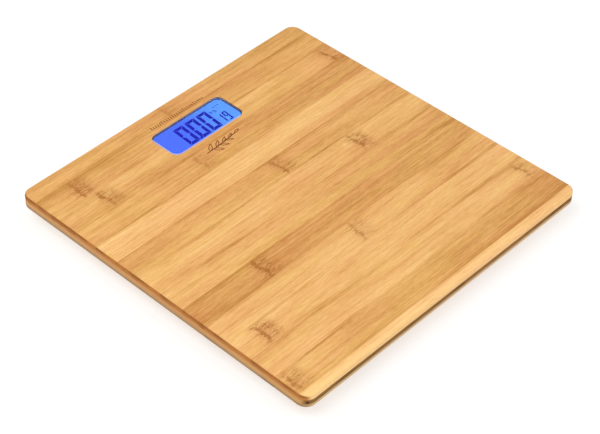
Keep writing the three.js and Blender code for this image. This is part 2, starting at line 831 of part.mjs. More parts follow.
const CELL_SEAT = 4; // width of the ledges that a load cell is clamped against
const WIRE_SLOT = { x0: 10, x1: 18, half: 2.3, below: 2 };
const CELL_CORNER = 2.5;
const TONGUE = { half: 5, tip: -7, root: 7, slot: 1.6 }; // slot: width of the cut round it
const FOOT = { clearance: 0.6, flangeHeight: 0.8, edge: 0.5, boss: 4, slack: 0.2 };
const PAD_RING = { inner: [8.5, 9.2], outer: [10.6, 11.3], depth: 0.5, chamfer: [0.7, 0.6] };

/** The fixed cup of a foot, with its ears along local Y and its wire slot towards local +X. */
function footCarrier() {
  const ceiling = GROUND_GAP - CARRIER_TOP;
  const cup = turned([
    [0, ceiling],
    [SKIRT.inner, ceiling],
    [SKIRT.inner, SKIRT.bottom + SKIRT.lip],
    [SKIRT.lipRadius, SKIRT.bottom + SKIRT.lip],
    [SKIRT.lipRadius, SKIRT.bottom],
    [SKIRT.outer - SKIRT.lip, SKIRT.bottom],
    [SKIRT.outer, SKIRT.bottom + SKIRT.lip],
    [SKIRT.outer, GROUND_GAP],
    [0, GROUND_GAP],
  ]);
  const ears = [1, -1].map((hand) => {
    const y = hand * EAR.reach;
    const web = block(
      [-EAR.radius, Math.min(0, y), ceiling],
      [EAR.radius, Math.max(0, y), GROUND_GAP],
    );
    return bar(EAR.radius, ceiling, GROUND_GAP, 0, y, ROUND).add(web);
  });
  const bores = [1, -1].map((hand) =>
    bar(SCREW.bore, ceiling - OVER, GROUND_GAP + OVER, 0, hand * EAR.reach, SMALL_ROUND),
  );
  const half = CELL_PLATE.side / 2;
  const seats = [half - CELL_SEAT, -half].map((y) =>
    block(
      [-half, y, CELL_PLATE.z + CELL_PLATE.thickness],
      [half, y + CELL_SEAT, ceiling],
    ),
  );
  const wireSlot = block(
    [WIRE_SLOT.x0, -WIRE_SLOT.half, ceiling - WIRE_SLOT.below],
    [WIRE_SLOT.x1, WIRE_SLOT.half, GROUND_GAP + OVER],
  );
  return cut(joined(cup, ...ears, ...seats), ...bores, wireSlot);
}

/** A stamped load cell: a square frame with a tongue that bends when the foot is loaded. */
function loadCell() {
  const [z0, z1] = [CELL_PLATE.z, CELL_PLATE.z + CELL_PLATE.thickness];
  const plate = slab(
    roundedRect(CELL_PLATE.side, CELL_PLATE.side, CELL_CORNER),
    z0,
    z1,
    CORNER_STEPS,
  );
  const outer = TONGUE.half + TONGUE.slot;
  const legs = [-outer, TONGUE.half].map((y) =>
    block(
      [TONGUE.tip - TONGUE.slot, y, z0 - OVER],
      [TONGUE.root, y + TONGUE.slot, z1 + OVER],
    ),
  );
  const end = block(
    [TONGUE.tip - TONGUE.slot, -outer, z0 - OVER],
    [TONGUE.tip, outer, z1 + OVER],
  );
  return cut(plate, ...legs, end);
}

/** The moving foot: a captive disc whose boss bears on the load cell's tongue. */
function foot() {
  const shoulder = SKIRT.bottom + SKIRT.lip + FOOT.slack;
  const neck = SKIRT.lipRadius - FOOT.clearance;
  const flange = SKIRT.inner - FOOT.clearance;
  return turned([
    [0, PAD.height],
    [PAD.radius + FIT, PAD.height],
    [PAD.radius + FIT, PAD.seat],
    [neck - FOOT.edge, PAD.seat],
    [neck, PAD.seat + FOOT.edge],
    [neck, shoulder],
    [flange, shoulder],
    [flange, shoulder + FOOT.flangeHeight],
    [FOOT.boss, shoulder + FOOT.flangeHeight],
    [FOOT.boss, CELL_PLATE.z],
    [0, CELL_PLATE.z],
  ]);
}

/** The rubber sole of a foot, with a shallow moulded ring. */
function rubberPad() {
  const { inner, outer, depth, chamfer } = PAD_RING;
  return turned([
    [0, 0],
    [inner[0], 0],
    [inner[1], depth],
    [outer[0], depth],
    [outer[1], 0],
    [PAD.radius - chamfer[0], 0],
    [PAD.radius, chamfer[1]],
    [PAD.radius, PAD.height],
    [0, PAD.height],
  ]);
}

function feet() {
  return CORNERS.map(({ name, centre, way }) => {
    const group = new THREE.Group();
    group.position.set(centre.x, centre.y, 0);
    group.rotation.z = way.angle();
    group.add(
      piece(`${name}_foot_carrier`, footCarrier(), MATERIALS.whitePlastic),
      piece(`${name}_load_cell`, loadCell(), MATERIALS.steel),
      piece(`${name}_foot`, foot(), MATERIALS.whitePlastic),
      piece(`${name}_rubber_pad`, rubberPad(), MATERIALS.rubber),
    );
    return group;
  });
}

// ---------------------------------------------------------------- load-cell wires

/** Distances from a foot's centre where its lead leaves the cell and is down in its groove. */
const LEAD_STATIONS = { overCell: [5, 10.5], inGroove: [16, 21], beforePocket: 3 };

/** The section of a flat lead: wires side by side, widest along the second axis. */
function ribbonSection() {
  const { wires, radius } = RIBBON;
  const shape = new THREE.Shape();
  const first = -(wires - 1) * radius;
  for (let i = 0; i < wires; i += 1) {
    shape.absarc(0, first + 2 * radius * i, radius, -Math.PI / 3, Math.PI / 3, false);
  }
  for (let i = wires - 1; i >= 0; i -= 1) {
    shape.absarc(0, first + 2 * radius * i, radius, (2 * Math.PI) / 3, (4 * Math.PI) / 3, false);
  }
  shape.closePath();
  return shape;
}

/** The lead of one load cell: through its carrier, along the groove, to the circuit board. */
function cellLead(corner) {
  const { name, centre, pocketEdge, solder, way } = corner;
  const at = (distance, z) => {
    const p = centre.clone().addScaledVector(way, distance);
    return new THREE.Vector3(p.x, p.y, z);
  };
  const gap = RIBBON.radius + RIBBON.clearance;
  const overCell = CELL_PLATE.z + CELL_PLATE.thickness + gap;
  const inGroove = GROUND_GAP + GROOVE.depth - gap;
  const underBoard = BOARD_BOTTOM - gap;
  const run = centre.distanceTo(pocketEdge);
  const route = new LevelRoute([
    ...LEAD_STATIONS.overCell.map((distance) => at(distance, overCell)),
    ...LEAD_STATIONS.inGroove.map((distance) => at(distance, inGroove)),
    at(run / 2, inGroove),
    at(run - LEAD_STATIONS.beforePocket, inGroove),
    new THREE.Vector3(
      (pocketEdge.x + solder.x) / 2,
      (pocketEdge.y + solder.y) / 2,
      (inGroove + underBoard) / 2,
    ),
    new THREE.Vector3(solder.x, solder.y, underBoard),
  ]);
  const made = swept(ribbonSection(), route, RIBBON.steps, 1);
  return piece(`${name}_cell_lead`, made, MATERIALS.ribbon);
}

/** A patch of tape that keeps a long lead in its groove. */
function grooveTape({ name, centre, pocketEdge, way }) {
  const middle = centre.clone().lerp(pocketEdge, 0.5);
  const geometry = new THREE.BoxGeometry(TAPE.length, TAPE.width, TAPE.thickness);
  geometry.rotateZ(way.angle());
  geometry.translate(middle.x, middle.y, GROUND_GAP - TAPE.thickness / 2);
  return piece(`${name}_groove_tape`, solid(geometry), MATERIALS.tape);
}

// ---------------------------------------------------------------- assembly

const scale = new THREE.Group();
scale.name = "bathroom_scale";
scale.add(
  ...platform(),
  ...display(),
  ...circuitBoard(),
  piece("electronics_housing", housing(), MATERIALS.whitePlastic),
  piece("battery_door", batteryDoor(), MATERIALS.whitePlastic),
  piece("unit_button", unitButton(), MATERIALS.greyPlastic),
  ...batteries(),
  batteryLead("positive_lead", LEADS.positive, CELL_ROWS[1], MATERIALS.ribbon),
  batteryLead("negative_lead", LEADS.negative, CELL_ROWS[0], MATERIALS.blackLead),
  ...screws(),
  ...feet(),
  ...CORNERS.map(cellLead),
  ...CORNERS.filter(({ end }) => end === FRONT).map(grooveTape),
);

export default scale;
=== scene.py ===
"""Looks of an electronic bathroom scale with a bamboo platform.

Every piece is made in metres round the packed part and in its frame: +Z up, the floor at
z = 0, +Y towards the edge with the display, and +X to a standing user's right.
"""

import math

import bmesh
import bpy
from bpy.props import FloatProperty, FloatVectorProperty, PointerProperty, StringProperty
from mathutils import Matrix, Vector


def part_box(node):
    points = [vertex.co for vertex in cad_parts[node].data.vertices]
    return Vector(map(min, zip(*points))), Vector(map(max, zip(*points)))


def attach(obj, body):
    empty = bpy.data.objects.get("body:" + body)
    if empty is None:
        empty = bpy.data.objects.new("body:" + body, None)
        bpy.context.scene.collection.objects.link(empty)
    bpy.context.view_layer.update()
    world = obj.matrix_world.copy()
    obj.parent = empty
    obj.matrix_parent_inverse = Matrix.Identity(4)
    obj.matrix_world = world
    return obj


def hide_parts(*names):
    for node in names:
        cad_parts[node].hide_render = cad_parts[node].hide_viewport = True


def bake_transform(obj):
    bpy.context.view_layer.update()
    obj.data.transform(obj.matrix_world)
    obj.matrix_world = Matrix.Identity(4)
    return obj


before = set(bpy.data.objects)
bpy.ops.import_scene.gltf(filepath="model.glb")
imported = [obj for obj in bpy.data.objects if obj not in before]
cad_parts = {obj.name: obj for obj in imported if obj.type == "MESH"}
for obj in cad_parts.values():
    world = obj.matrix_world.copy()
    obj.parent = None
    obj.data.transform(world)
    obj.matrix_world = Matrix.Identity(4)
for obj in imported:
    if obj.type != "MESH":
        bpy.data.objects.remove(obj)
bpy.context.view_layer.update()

bl_info = {
    "name": "Bamboo Bathroom Scale",
    "version": (1, 0, 0),
    "blender": (4, 5, 0),
    "location": "View3D > Sidebar > Bathroom Scale",
    "description": "Finishes the surfaces of a bamboo bathroom scale",
    "category": "Object",
}

MM = 0.001
ROOT = "platform"
CORNERS = ("front_left", "front_right", "back_left", "back_right")
# Points closer than this are one, and faces that meet at a smaller angle are flat.
SAME_POINT = 1e-6
FLAT = math.radians(0.5)

BOARD_LOW, BOARD_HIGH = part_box("platform_back_ply")[0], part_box("platform_face_ply")[1]
WINDOW_LOW, WINDOW_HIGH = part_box("display_window")
GLASS_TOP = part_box("lcd_front_glass")[1].z

# Display window: how far it reaches under the board's lip, the radius of its opening's
# corners, and how far its painted highlight edge reaches into the opening.
WINDOW_LIP = 2.7 * MM
WINDOW_ROUND = 6.4 * MM
HIGHLIGHT_SHIFT = 1.3 * MM

# The two readings on the display: where each starts, from the window's left, how far its
# digits stand over the large ones' foot, and the digits' sizes.
LARGE_DIGITS = {
    "left": 22.9 * MM,
    "raised": 0.0,
    "width": 10.1 * MM,
    "pitch": 12.4 * MM,
    "stroke": 2.9 * MM,
    "gap": 0.25 * MM,
}
SMALL_DIGITS = {
    "left": 60.2 * MM,
    "raised": 0.3 * MM,
    "width": 4.2 * MM,
    "pitch": 5.6 * MM,
    "stroke": 1.35 * MM,
    "gap": 0.1 * MM,
}
SMALL_DIGIT_HEIGHT = 11.6 * MM
POINT_SIZE = 1.9 * MM
POINT_SETBACK = 2.2 * MM
DIGITS_BELOW_MIDDLE = 0.8 * MM

# Plain unit marks beside the small reading, in millimetres from the window's left and
# from the large digits' foot.
UNIT_MARKS = (
    [(60.3, 19.6), (60.3, 16.6)],
    [(62.1, 18.5), (60.3, 17.5), (62.1, 16.6)],
    [(65.0, 18.5), (63.3, 18.5), (63.3, 16.8), (65.0, 16.8)],
    [(65.0, 18.6), (65.0, 15.6), (63.3, 15.6)],
    [(66.0, 21.5), (67.6, 21.5)],
    [(68.4, 21.5), (70.0, 21.5)],
    [(70.8, 21.5), (72.4, 21.5)],
)
UNIT_STROKE = 0.55 * MM

# Which of a digit's seven bars are dark: a to f clockwise from the top, g in the middle.
LIT_BARS = {
    "0": "abcdef",
    "1": "bc",
    "2": "abdeg",
    "3": "abcdg",
    "4": "bcfg",
    "5": "acdfg",
    "6": "acdefg",
    "7": "abc",
    "8": "abcdefg",
    "9": "abcdfg",
}

# Load cells, from a foot's middle along its lead: the plate's half width and corners, the
# tongue's half width, root and tip, the slot round it, the boss that presses on it, and
# half the length, width and height of the cover on its gauge.
PLATE_HALF = 13.5 * MM
PLATE_RADIUS = 2.5 * MM
TONGUE_HALF = 5 * MM
TONGUE_ROOT = 7 * MM
TONGUE_TIP = -7 * MM
TONGUE_SLOT = 1.6 * MM
GAUGE_COVER = Vector((1.9, 3.6, 1.2)) * MM

# Where each corner's lead enters the pocket, and where it is soldered, in millimetres.
LEAD_ENTRIES = {
    "front_left": (-44, 63),
    "front_right": (44, 63),
    "back_left": (-52, 112),
    "back_right": (52, 112),
}
SOLDER_PLACES = {
    "front_left": (-36, 97),
    "front_right": (41, 70),
    "back_left": (-39.5, 112),
    "back_right": (39.5, 112),
}
WIRE_RADIUS = 0.5 * MM
WIRE_PITCH = 1.1 * MM
# Heights of a lead's middle over the floor.
OVER_CELL = 9.8 * MM
IN_GROOVE = 13.6 * MM
UNDER_BOARD = 13.9 * MM

# Soft lamps: name, place in metres and power in watts.
LAMPS = (("key_lamp", (-1.0, 0.35, 1.9), 26), ("fill_lamp", (0.9, -1.3, 1.7), 16))
LAMP_SIDE = 1.8
FLOOR_HALF = 6
SKY_STRENGTH = 0.48

WHITE = (1, 1, 1)
BLACK = (0, 0, 0)


def linear(red, green, blue):
    """A colour given as 0 to 255 on screen, as the renderer counts light."""

    def channel(value):
        value /= 255
        return value / 12.92 if value <= 0.04045 else ((value + 0.055) / 1.055) ** 2.4

    return channel(red), channel(green), channel(blue)


def dimmed(colour, share):
    """A colour with its light cut to a share."""
    return tuple(c * share for c in colour)


# ------------------------------------------------------------------ settings


def colour_setting(name, description, default):
    """A colour that a user may change."""
    return FloatVectorProperty(
        name=name,
        description=description,
        subtype="COLOR",
        size=3,
        min=0,
        max=1,
        default=default,
    )


def length_setting(name, description, default):
    """A length in metres that a user may change."""
    return FloatProperty(
        name=name,
        description=description,
        subtype="DISTANCE",
        unit="LENGTH",
        precision=5,
        default=default,
    )


class BoardSettings(bpy.types.PropertyGroup):
    """The laminated bamboo platform."""

    strip_width: length_setting("Strip width", "Width of each bamboo strip", 22.9 * MM)
    first_joint: length_setting(
        "First joint", "Y of the glue line nearest the display edge", 132.4 * MM
    )
    seam: length_setting("Seam", "Half the width of a glue line", 0.01 * MM)
    darkest: colour_setting("Darkest strip", "Colour of the darkest strips", linear(190, 128, 58))
    middle: colour_setting("Middle strip", "Colour of most strips", linear(231, 175, 104))
    lightest: colour_setting("Lightest strip", "Colour of the palest strips", linear(255, 208, 140))
    knuckle: colour_setting("Knuckle", "Colour where a stem's knuckle shows", linear(164, 94, 30))
    face_ends: colour_setting("Face ends", "Cut ends of the face ply", linear(196, 126, 58))
    core_ends: colour_setting("Core ends", "Cut ends of the core ply", linear(146, 102, 46))
    # partly the back ply's own greyish end grain, partly painted shade along the bottom edge near
    # the floor
    back_ends_and_shade: colour_setting("Back ends", "Cut ends of the back ply", linear(172, 138, 98))


class DisplaySettings(bpy.types.PropertyGroup):
    """The backlit display."""

    left_glow: colour_setting("Glow, left", "Backlight at the display's left", linear(66, 106, 255))
    right_glow: colour_setting("Glow, right", "Backlight next to its lamps", linear(84, 152, 255))
    segment: colour_setting("Segments", "Colour of the dark segments", linear(0, 14, 168))
    digits: StringProperty(name="Reading", description="Digits shown large", default="0.00")
    small_digits: StringProperty(
        name="Small reading", description="Digits shown small at the right", default="19"
    )
    digit_height: length_setting("Digit height", "Height of the large digits", 23 * MM)
    slant: FloatProperty(
        name="Slant",
        description="How far the digits lean to the right",
        subtype="ANGLE",
        unit="ROTATION",
        default=math.radians(3.4),
    )


class MarkSettings(bpy.types.PropertyGroup):
    """The marks burnt into the face ply."""

    burnt: colour_setting("Burnt mark", "Colour of the burnt marks", linear(152, 86, 30))
    tick_height: length_setting("Tick height", "Height of the ticks above the display", 3.4 * MM)
    tick_pitch: length_setting("Tick pitch", "From one tick to the next", 2.3 * MM)
    sprig_length: length_setting("Sprig length", "Length of the sprig below it", 33 * MM)
    stroke: length_setting("Stroke", "Width of the burnt lines", 0.95 * MM)


class PlasticSettings(bpy.types.PropertyGroup):
    """The mouldings underneath."""

    white: colour_setting("White plastic", "Housing, door and feet", linear(238, 237, 232))
    grey: colour_setting("Grey plastic", "Unit button", linear(196, 197, 196))
    rubber: colour_setting("Rubber", "Soles of the feet", linear(128, 130, 132))


class StageSettings(bpy.types.PropertyGroup):
    """Floor, lamps and camera."""

    lens: FloatProperty(name="Lens", description="Focal length in millimetres", default=108.68)
    azimuth: FloatProperty(
        name="Azimuth",
        description="Where the camera stands, from straight in front of the user's side",
        subtype="ANGLE",
        unit="ROTATION",
        default=math.radians(-44.64),
    )
    elevation: FloatProperty(
        name="Elevation",
        description="Height of the camera above the horizon",
        subtype="ANGLE",
        unit="ROTATION",
        default=math.radians(42.75),
    )
    roll: FloatProperty(
        name="Roll",
        description="Turn of the camera about its own axis",
        subtype="ANGLE",
        unit="ROTATION",
        default=math.radians(-0.67),
    )
    distance: length_setting("Distance", "From the camera to its aim", 1.3736)
    aim: FloatVectorProperty(
        name="Aim",
        description="Point that the camera faces",
        subtype="XYZ",
        unit="LENGTH",
        size=3,
        precision=4,
        default=(-0.0430, 0.0202, BOARD_LOW.z),
    )
    shift: FloatProperty(name="Shift", description="Sideways shift of the lens", default=0.1)
    floor: colour_setting("Floor", "Colour of the floor", linear(253, 253, 253))


SETTINGS = {
    "scale_board": BoardSettings,
    "scale_display": DisplaySettings,
    "scale_marks": MarkSettings,
    "scale_plastic": PlasticSettings,
    "scale_stage": StageSettings,
}


# ------------------------------------------------------------------ shader nodes


class Finish:
    """A material made of nodes, with short calls for the nodes it needs."""

    def __init__(self, name):
        self.material = bpy.data.materials.new(name)
        self.material.use_nodes = True
        self.tree = self.material.node_tree
        self.tree.nodes.clear()
        self.shader = self.node("ShaderNodeBsdfPrincipled")
        self.output = self.node("ShaderNodeOutputMaterial")
        self.link(self.shader.outputs["BSDF"], self.output.inputs["Surface"])
        self.place = self.node("ShaderNodeTexCoord").outputs["Object"]

    def node(self, kind, **settings):
        """A new node of a kind."""
        made = self.tree.nodes.new(kind)
        for key, value in settings.items():
            setattr(made, key, value)
        return made

    def link(self, source, target):
        """Joins two sockets."""
        self.tree.links.new(source, target)

    def feed(self, socket, value):
        """Links a socket, or sets a plain number or colour."""
        if isinstance(value, bpy.types.NodeSocket):
            self.link(value, socket)
        elif socket.type == "RGBA" and len(value) == 3:
            socket.default_value = (*value, 1)
        else:
            socket.default_value = value

    def feed_all(self, node, **values):
        """Feeds a node's sockets, by name with _ for a space."""
        for key, value in values.items():
            self.feed(node.inputs[key.replace("_", " ")], value)

    def set(self, **values):
        """Sets the shader's own sockets."""
        self.feed_all(self.shader, **values)

    def parts(self, vector):
        """The three numbers in a vector."""
        made = self.node("ShaderNodeSeparateXYZ")
        self.link(vector, made.inputs[0])
        return tuple(made.outputs)

    def vector(self, x, y, z):
        """A vector of three numbers."""
        made = self.node("ShaderNodeCombineXYZ")
        for socket, value in zip(made.inputs, (x, y, z)):
            self.feed(socket, value)
        return made.outputs[0]

    def stretched(self, vector, x, y, z):
        """The vector with each axis scaled on its own."""
        made = self.node("ShaderNodeVectorMath", operation="MULTIPLY")
        self.link(vector, made.inputs[0])
        made.inputs[1].default_value = (x, y, z)
        return made.outputs[0]

    def distance(self, vector, point=(0, 0, 0)):
        """How far a vector is from a point."""
        made = self.node("ShaderNodeVectorMath", operation="DISTANCE")
        self.link(vector, made.inputs[0])
        made.inputs[1].default_value = point
        return made.outputs["Value"]

    def sum(self, operation, a, b=0.0, c=0.0, clamp=False):
        """The result of one sum with up to three numbers."""
        made = self.node("ShaderNodeMath", operation=operation, use_clamp=clamp)
        for socket, value in zip(made.inputs, (a, b, c)):
            self.feed(socket, value)
        return made.outputs[0]

    def span(self, value, low, high, to_low=0.0, to_high=1.0, kind="LINEAR"):
        """value brought from low..high to to_low..to_high."""
        made = self.node("ShaderNodeMapRange", interpolation_type=kind)
        limits = {"From_Min": low, "From_Max": high, "To_Min": to_low, "To_Max": to_high}
        self.feed_all(made, Value=value, **limits)
        return made.outputs[0]

    def steps(self, value, low, high, to_low=0.0, to_high=1.0):
        """As span, with eased ends."""
        return self.span(value, low, high, to_low, to_high, "SMOOTHSTEP")

    def noise(self, vector, scale, detail=2.0, roughness=0.5, distortion=0.0):
        """Cloudy noise from 0 to 1."""
        made = self.node("ShaderNodeTexNoise")
        limits = {"Detail": detail, "Roughness": roughness, "Distortion": distortion}
        self.feed_all(made, Vector=vector, Scale=scale, **limits)
        return made.outputs["Fac"]

    def cells(self, vector, scale):
        """Distance to the nearest of many scattered points."""
        made = self.node("ShaderNodeTexVoronoi", feature="F1")
        self.feed_all(made, Vector=vector, Scale=scale)
        return made.outputs["Distance"]

    def blend(self, share, a, b):
        """Two colours mixed by share."""
        made = self.node("ShaderNodeMix", data_type="RGBA", blend_type="MIX")
        self.feed(made.inputs[0], share)
        self.feed(made.inputs[6], a)
        self.feed(made.inputs[7], b)
        return made.outputs[2]

    def ramp(self, value, *stops):
        """A colour from stops of a position and a colour."""
        made = self.node("ShaderNodeValToRGB")
        self.feed(made.inputs[0], value)
        elements = made.color_ramp.elements
        while len(elements) < len(stops):
            elements.new(0.5)
        for element, (position, colour) in zip(elements, stops):
            element.position = position
            element.color = (*colour, 1)
        return made.outputs[0]

    def bump(self, height, depth, strength):
        """Relief of the given depth in metres."""
        made = self.node("ShaderNodeBump")
        self.feed_all(made, Strength=strength, Distance=depth, Height=height)
        self.link(made.outputs["Normal"], self.shader.inputs["Normal"])


# ------------------------------------------------------------------ mesh helpers


def placed(name, data):
    """A new object in the scene."""
    made = bpy.data.objects.new(name, data)
    bpy.context.scene.collection.objects.link(made)
    return made


def meshed(name, bm, material):
    """A new mesh object with the shape of bm, which is used up."""
    mesh = bpy.data.meshes.new(name)
    bm.to_mesh(mesh)
    bm.free()
    mesh.materials.append(material)
    return placed(name, mesh)


def piece(name, bm, material, smooth=35):
    """A finished mesh object that rides on the platform."""
    made = meshed(name, bm, material)
    made.data.shade_smooth()
    made.data.set_sharp_from_angle(angle=math.radians(smooth))
    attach(made, ROOT)
    return made


def welded(node):
    """A CAD node's mesh with its points joined and its flat faces whole."""
    bm = bmesh.new()
    bm.from_mesh(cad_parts[node].data)
    bmesh.ops.remove_doubles(bm, verts=bm.verts, dist=SAME_POINT)
    bmesh.ops.dissolve_limit(bm, angle_limit=FLAT, verts=bm.verts, edges=bm.edges)
    return bm


def rounded_edges(made, edge, segments=2, angle=32):
    """Small round edges where faces meet at more than an angle in degrees."""
    bevel = made.modifiers.new("edges", "BEVEL")
    bevel.width = edge
    bevel.segments = segments
    bevel.limit_method = "ANGLE"
    bevel.angle_limit = math.radians(angle)
    bevel.harden_normals = True


def dress(nodes, material, slot, edge=0.15 * MM, **rounding):
    """Gives CAD nodes their finish, smooth shading and soft edges."""
    for node in nodes:
        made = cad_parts[node]
        normals = made.data.attributes.get("custom_normal")
        if normals:
            made.data.attributes.remove(normals)
        made.data.shade_smooth()
        weld = made.modifiers.new("weld", "WELD")
        weld.merge_threshold = SAME_POINT
        flat = made.modifiers.new("flat_faces", "DECIMATE")
        flat.decimate_type = "DISSOLVE"
        flat.angle_limit = FLAT
        rounded_edges(made, edge, **rounding)
        made.data.materials.clear()
        made.data.materials.append(material)


def keep_between(bm, axis, low, high):
    """Cuts a closed mesh to low..high along an axis and closes it again."""
    for limit, outward in ((low, -1), (high, 1)):
        normal = Vector((0, 0, 0))
        normal[axis] = outward
        point = Vector((0, 0, 0))
        point[axis] = limit
        bmesh.ops.bisect_plane(
            bm,
            geom=[*bm.verts, *bm.edges, *bm.faces],
            dist=1e-7,
            plane_co=point,
            plane_no=normal,
            clear_outer=True,
        )
        rim = [e for e in bm.edges if e.is_boundary]
        if rim:
            bmesh.ops.holes_fill(bm, edges=rim, sides=0)


def extruded(bm, faces, height):
    """Makes flat faces into closed bodies of the given height."""
    raised = bmesh.ops.extrude_face_region(bm, geom=faces)["geom"]
    lifted = [v for v in raised if isinstance(v, bmesh.types.BMVert)]
    bmesh.ops.translate(bm, verts=lifted, vec=(0, 0, height))
    bmesh.ops.recalc_face_normals(bm, faces=bm.faces)


def flat_shapes(outlines, bottom, top):
    """Thin upright prisms from outlines of (x, y) points."""
    bm = bmesh.new()
    for outline in outlines:
        bm.faces.new([bm.verts.new((x, y, bottom)) for x, y in outline])
    extruded(bm, list(bm.faces), top - bottom)
    return bm


def ribbon(points, width, closed=False):
    """Quads that follow a line of (x, y) points with the given width."""
    line = [Vector(p) for p in points]
    count = len(line)
    sides = []
    for i, point in enumerate(line):
        before = line[i - 1] if i or closed else point
        after = line[(i + 1) % count] if i < count - 1 or closed else point
        way = (after - before).normalized()
        across = Vector((-way.y, way.x)) * width / 2
        sides.append((point + across, point - across))
    quads = []
    for i in range(count if closed else count - 1):
        (a, b), (c, d) = sides[i], sides[(i + 1) % count]
        quads.append([a, b, d, c])
    return quads


# ------------------------------------------------------------------ bamboo

STRIP = "strip"  # per face: tone at the low end, tone at the high end, seed
KNUCKLES = "knuckles"  # per face: where along the strip its two knuckles are, and how dark

# The face ply's strips from the display edge to the user's: tone at the left and at the
# right, from 0 dark to 1 light, where along X their knuckles are in millimetres, and how
# dark those are.
AWAY = 900
FACE_STRIPS = (
    (0.42, 0.36, -7, AWAY, 0.35),
    (0.36, 0.36, -118, AWAY, 1.0),
    (0.50, 0.42, -109, 138, 0.8),
    (0.47, 0.30, -29, AWAY, 0.55),
    (0.72, 0.62, AWAY, AWAY, 0.0),
    (0.40, 0.40, 9, AWAY, 0.75),
    (0.62, 0.52, 73, AWAY, 0.85),
    (0.52, 0.34, AWAY, AWAY, 0.0),
    (0.24, 0.27, -80, AWAY, 1.1),
    (0.58, 0.50, -2, AWAY, 0.5),
    (0.66, 0.56, -127, AWAY, 1.0),
    (0.52, 0.60, 136, AWAY, 0.5),
    (0.48, 0.22, -144, AWAY, 0.7),
    (0.98, 0.78, AWAY, AWAY, 0.0),
)

# Layers of noise in the wood: repeats per metre along the fibres, across the strip and
# through the board, then detail, roughness and distortion.
GRAIN = {
    "cloud": (16, 60, 60, 3, 0.6, 0.0),
    "band": (7, 190, 190, 2, 0.55, 0.3),
    "line": (9, 950, 950, 2, 0.55, 0.0),
    "streak": (34, 560, 560, 3, 0.6, 0.0),
    "fibre": (150, 1500, 1500, 3, 0.65, 0.0),
    "fleck": (200, 2400, 2400, 1, 0.5, 0.0),
    "warmth": (12, 90, 90, 2, 0.5, 0.0),
    "jag": (200, 900, 900, 2, 0.6, 0.0),
    "blotch": (130, 400, 400, 4, 0.65, 0.6),
    "bent": (300, 900, 900, 3, 0.65, 1.2),
    "patch": (20, 55, 160, 2, 0.5, 0.0),
}
# How much the layers that run through a whole strip change its tone.
GRAIN_SHARES = {"cloud": 0.5, "band": 0.5, "line": 0.6, "streak": 0.6, "fibre": 0.8}
# How far each strip's seed moves it through the noise along, across and down.
SEED_SHIFTS = (3.1, 1.7, 0.9)
# How often a knuckle's line waves, per metre across the strip, and how often the dark
# edges come and go, per metre along it.
WAVES = 60.0
EDGE_SPELLS = 9.0

# A knuckle's size along the fibres: how far its line waves and is torn, then for half its
# line and half the zone round it where they start to fade and where they end, and how far
# that zone lies to one side.
KNUCKLE_WAVE = 10 * MM
KNUCKLE_TEAR = 6 * MM
KNUCKLE_LINE = (0.2 * MM, 2.4 * MM)
KNUCKLE_ZONE = (2 * MM, 13 * MM)
KNUCKLE_ASIDE = 4 * MM

# Cut ends get painted shade just below the board's top, standing in for the round edge in
# shade: where that starts to fade and where it ends, and the share of red, green and blue light
# that is left, which the dark patches on dark strips take too.
TOP_EDGE_SHADE = (0.8 * MM, 2.8 * MM)
DARK_PATCH_AND_SHADE_SHARES = (0.45, 0.38, 0.28)
# Radius of the small dark spot painted on the core ply: where it starts to fade and where it ends.
DARK_SPOT = (0.8 * MM, 1.6 * MM)


def strip_limits(low, high, joint, width):
    """Where each strip starts and ends, from the highest down."""
    limits = [high]
    at = joint
    while at > low + width * 0.05:
        limits.append(at)
        at -= width
    limits.append(low)
    return [(b, a) for a, b in zip(limits, limits[1:])]


def chance(number):
    """A repeatable number from 0 to 1."""
    return math.modf(abs(math.sin(number * 12.9898) * 43758.5453))[0]


def laminate(name, node, axis, facts, limits, material, seam):
    """Divides a ply into closed strips side by side along an axis.

    facts holds a row for each strip, as FACE_STRIPS does, and starts again when it ends.
    """
    whole = welded(node)
    joined = bmesh.new()
    tones, knuckles = [], []
    for i, (low, high) in enumerate(limits):
        strip = whole.copy()
        keep_between(strip, axis, low + seam, high - seam)
        scrap = bpy.data.meshes.new("scrap")
        strip.to_mesh(scrap)
        strip.free()
        joined.from_mesh(scrap)
        count = len(scrap.polygons)
        bpy.data.meshes.remove(scrap)
        low_tone, high_tone, first, second, strength = facts[i % len(facts)]
        tones += [low_tone, high_tone, chance(i + len(name))] * count
        knuckles += [first * MM, second * MM, strength] * count
    whole.free()
    made = piece(name, joined, material)
    for key, values in ((STRIP, tones), (KNUCKLES, knuckles)):
        layer = made.data.attributes.new(key, "FLOAT_VECTOR", "FACE")
        layer.data.foreach_set("vector", values)
    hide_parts(node)
    return made


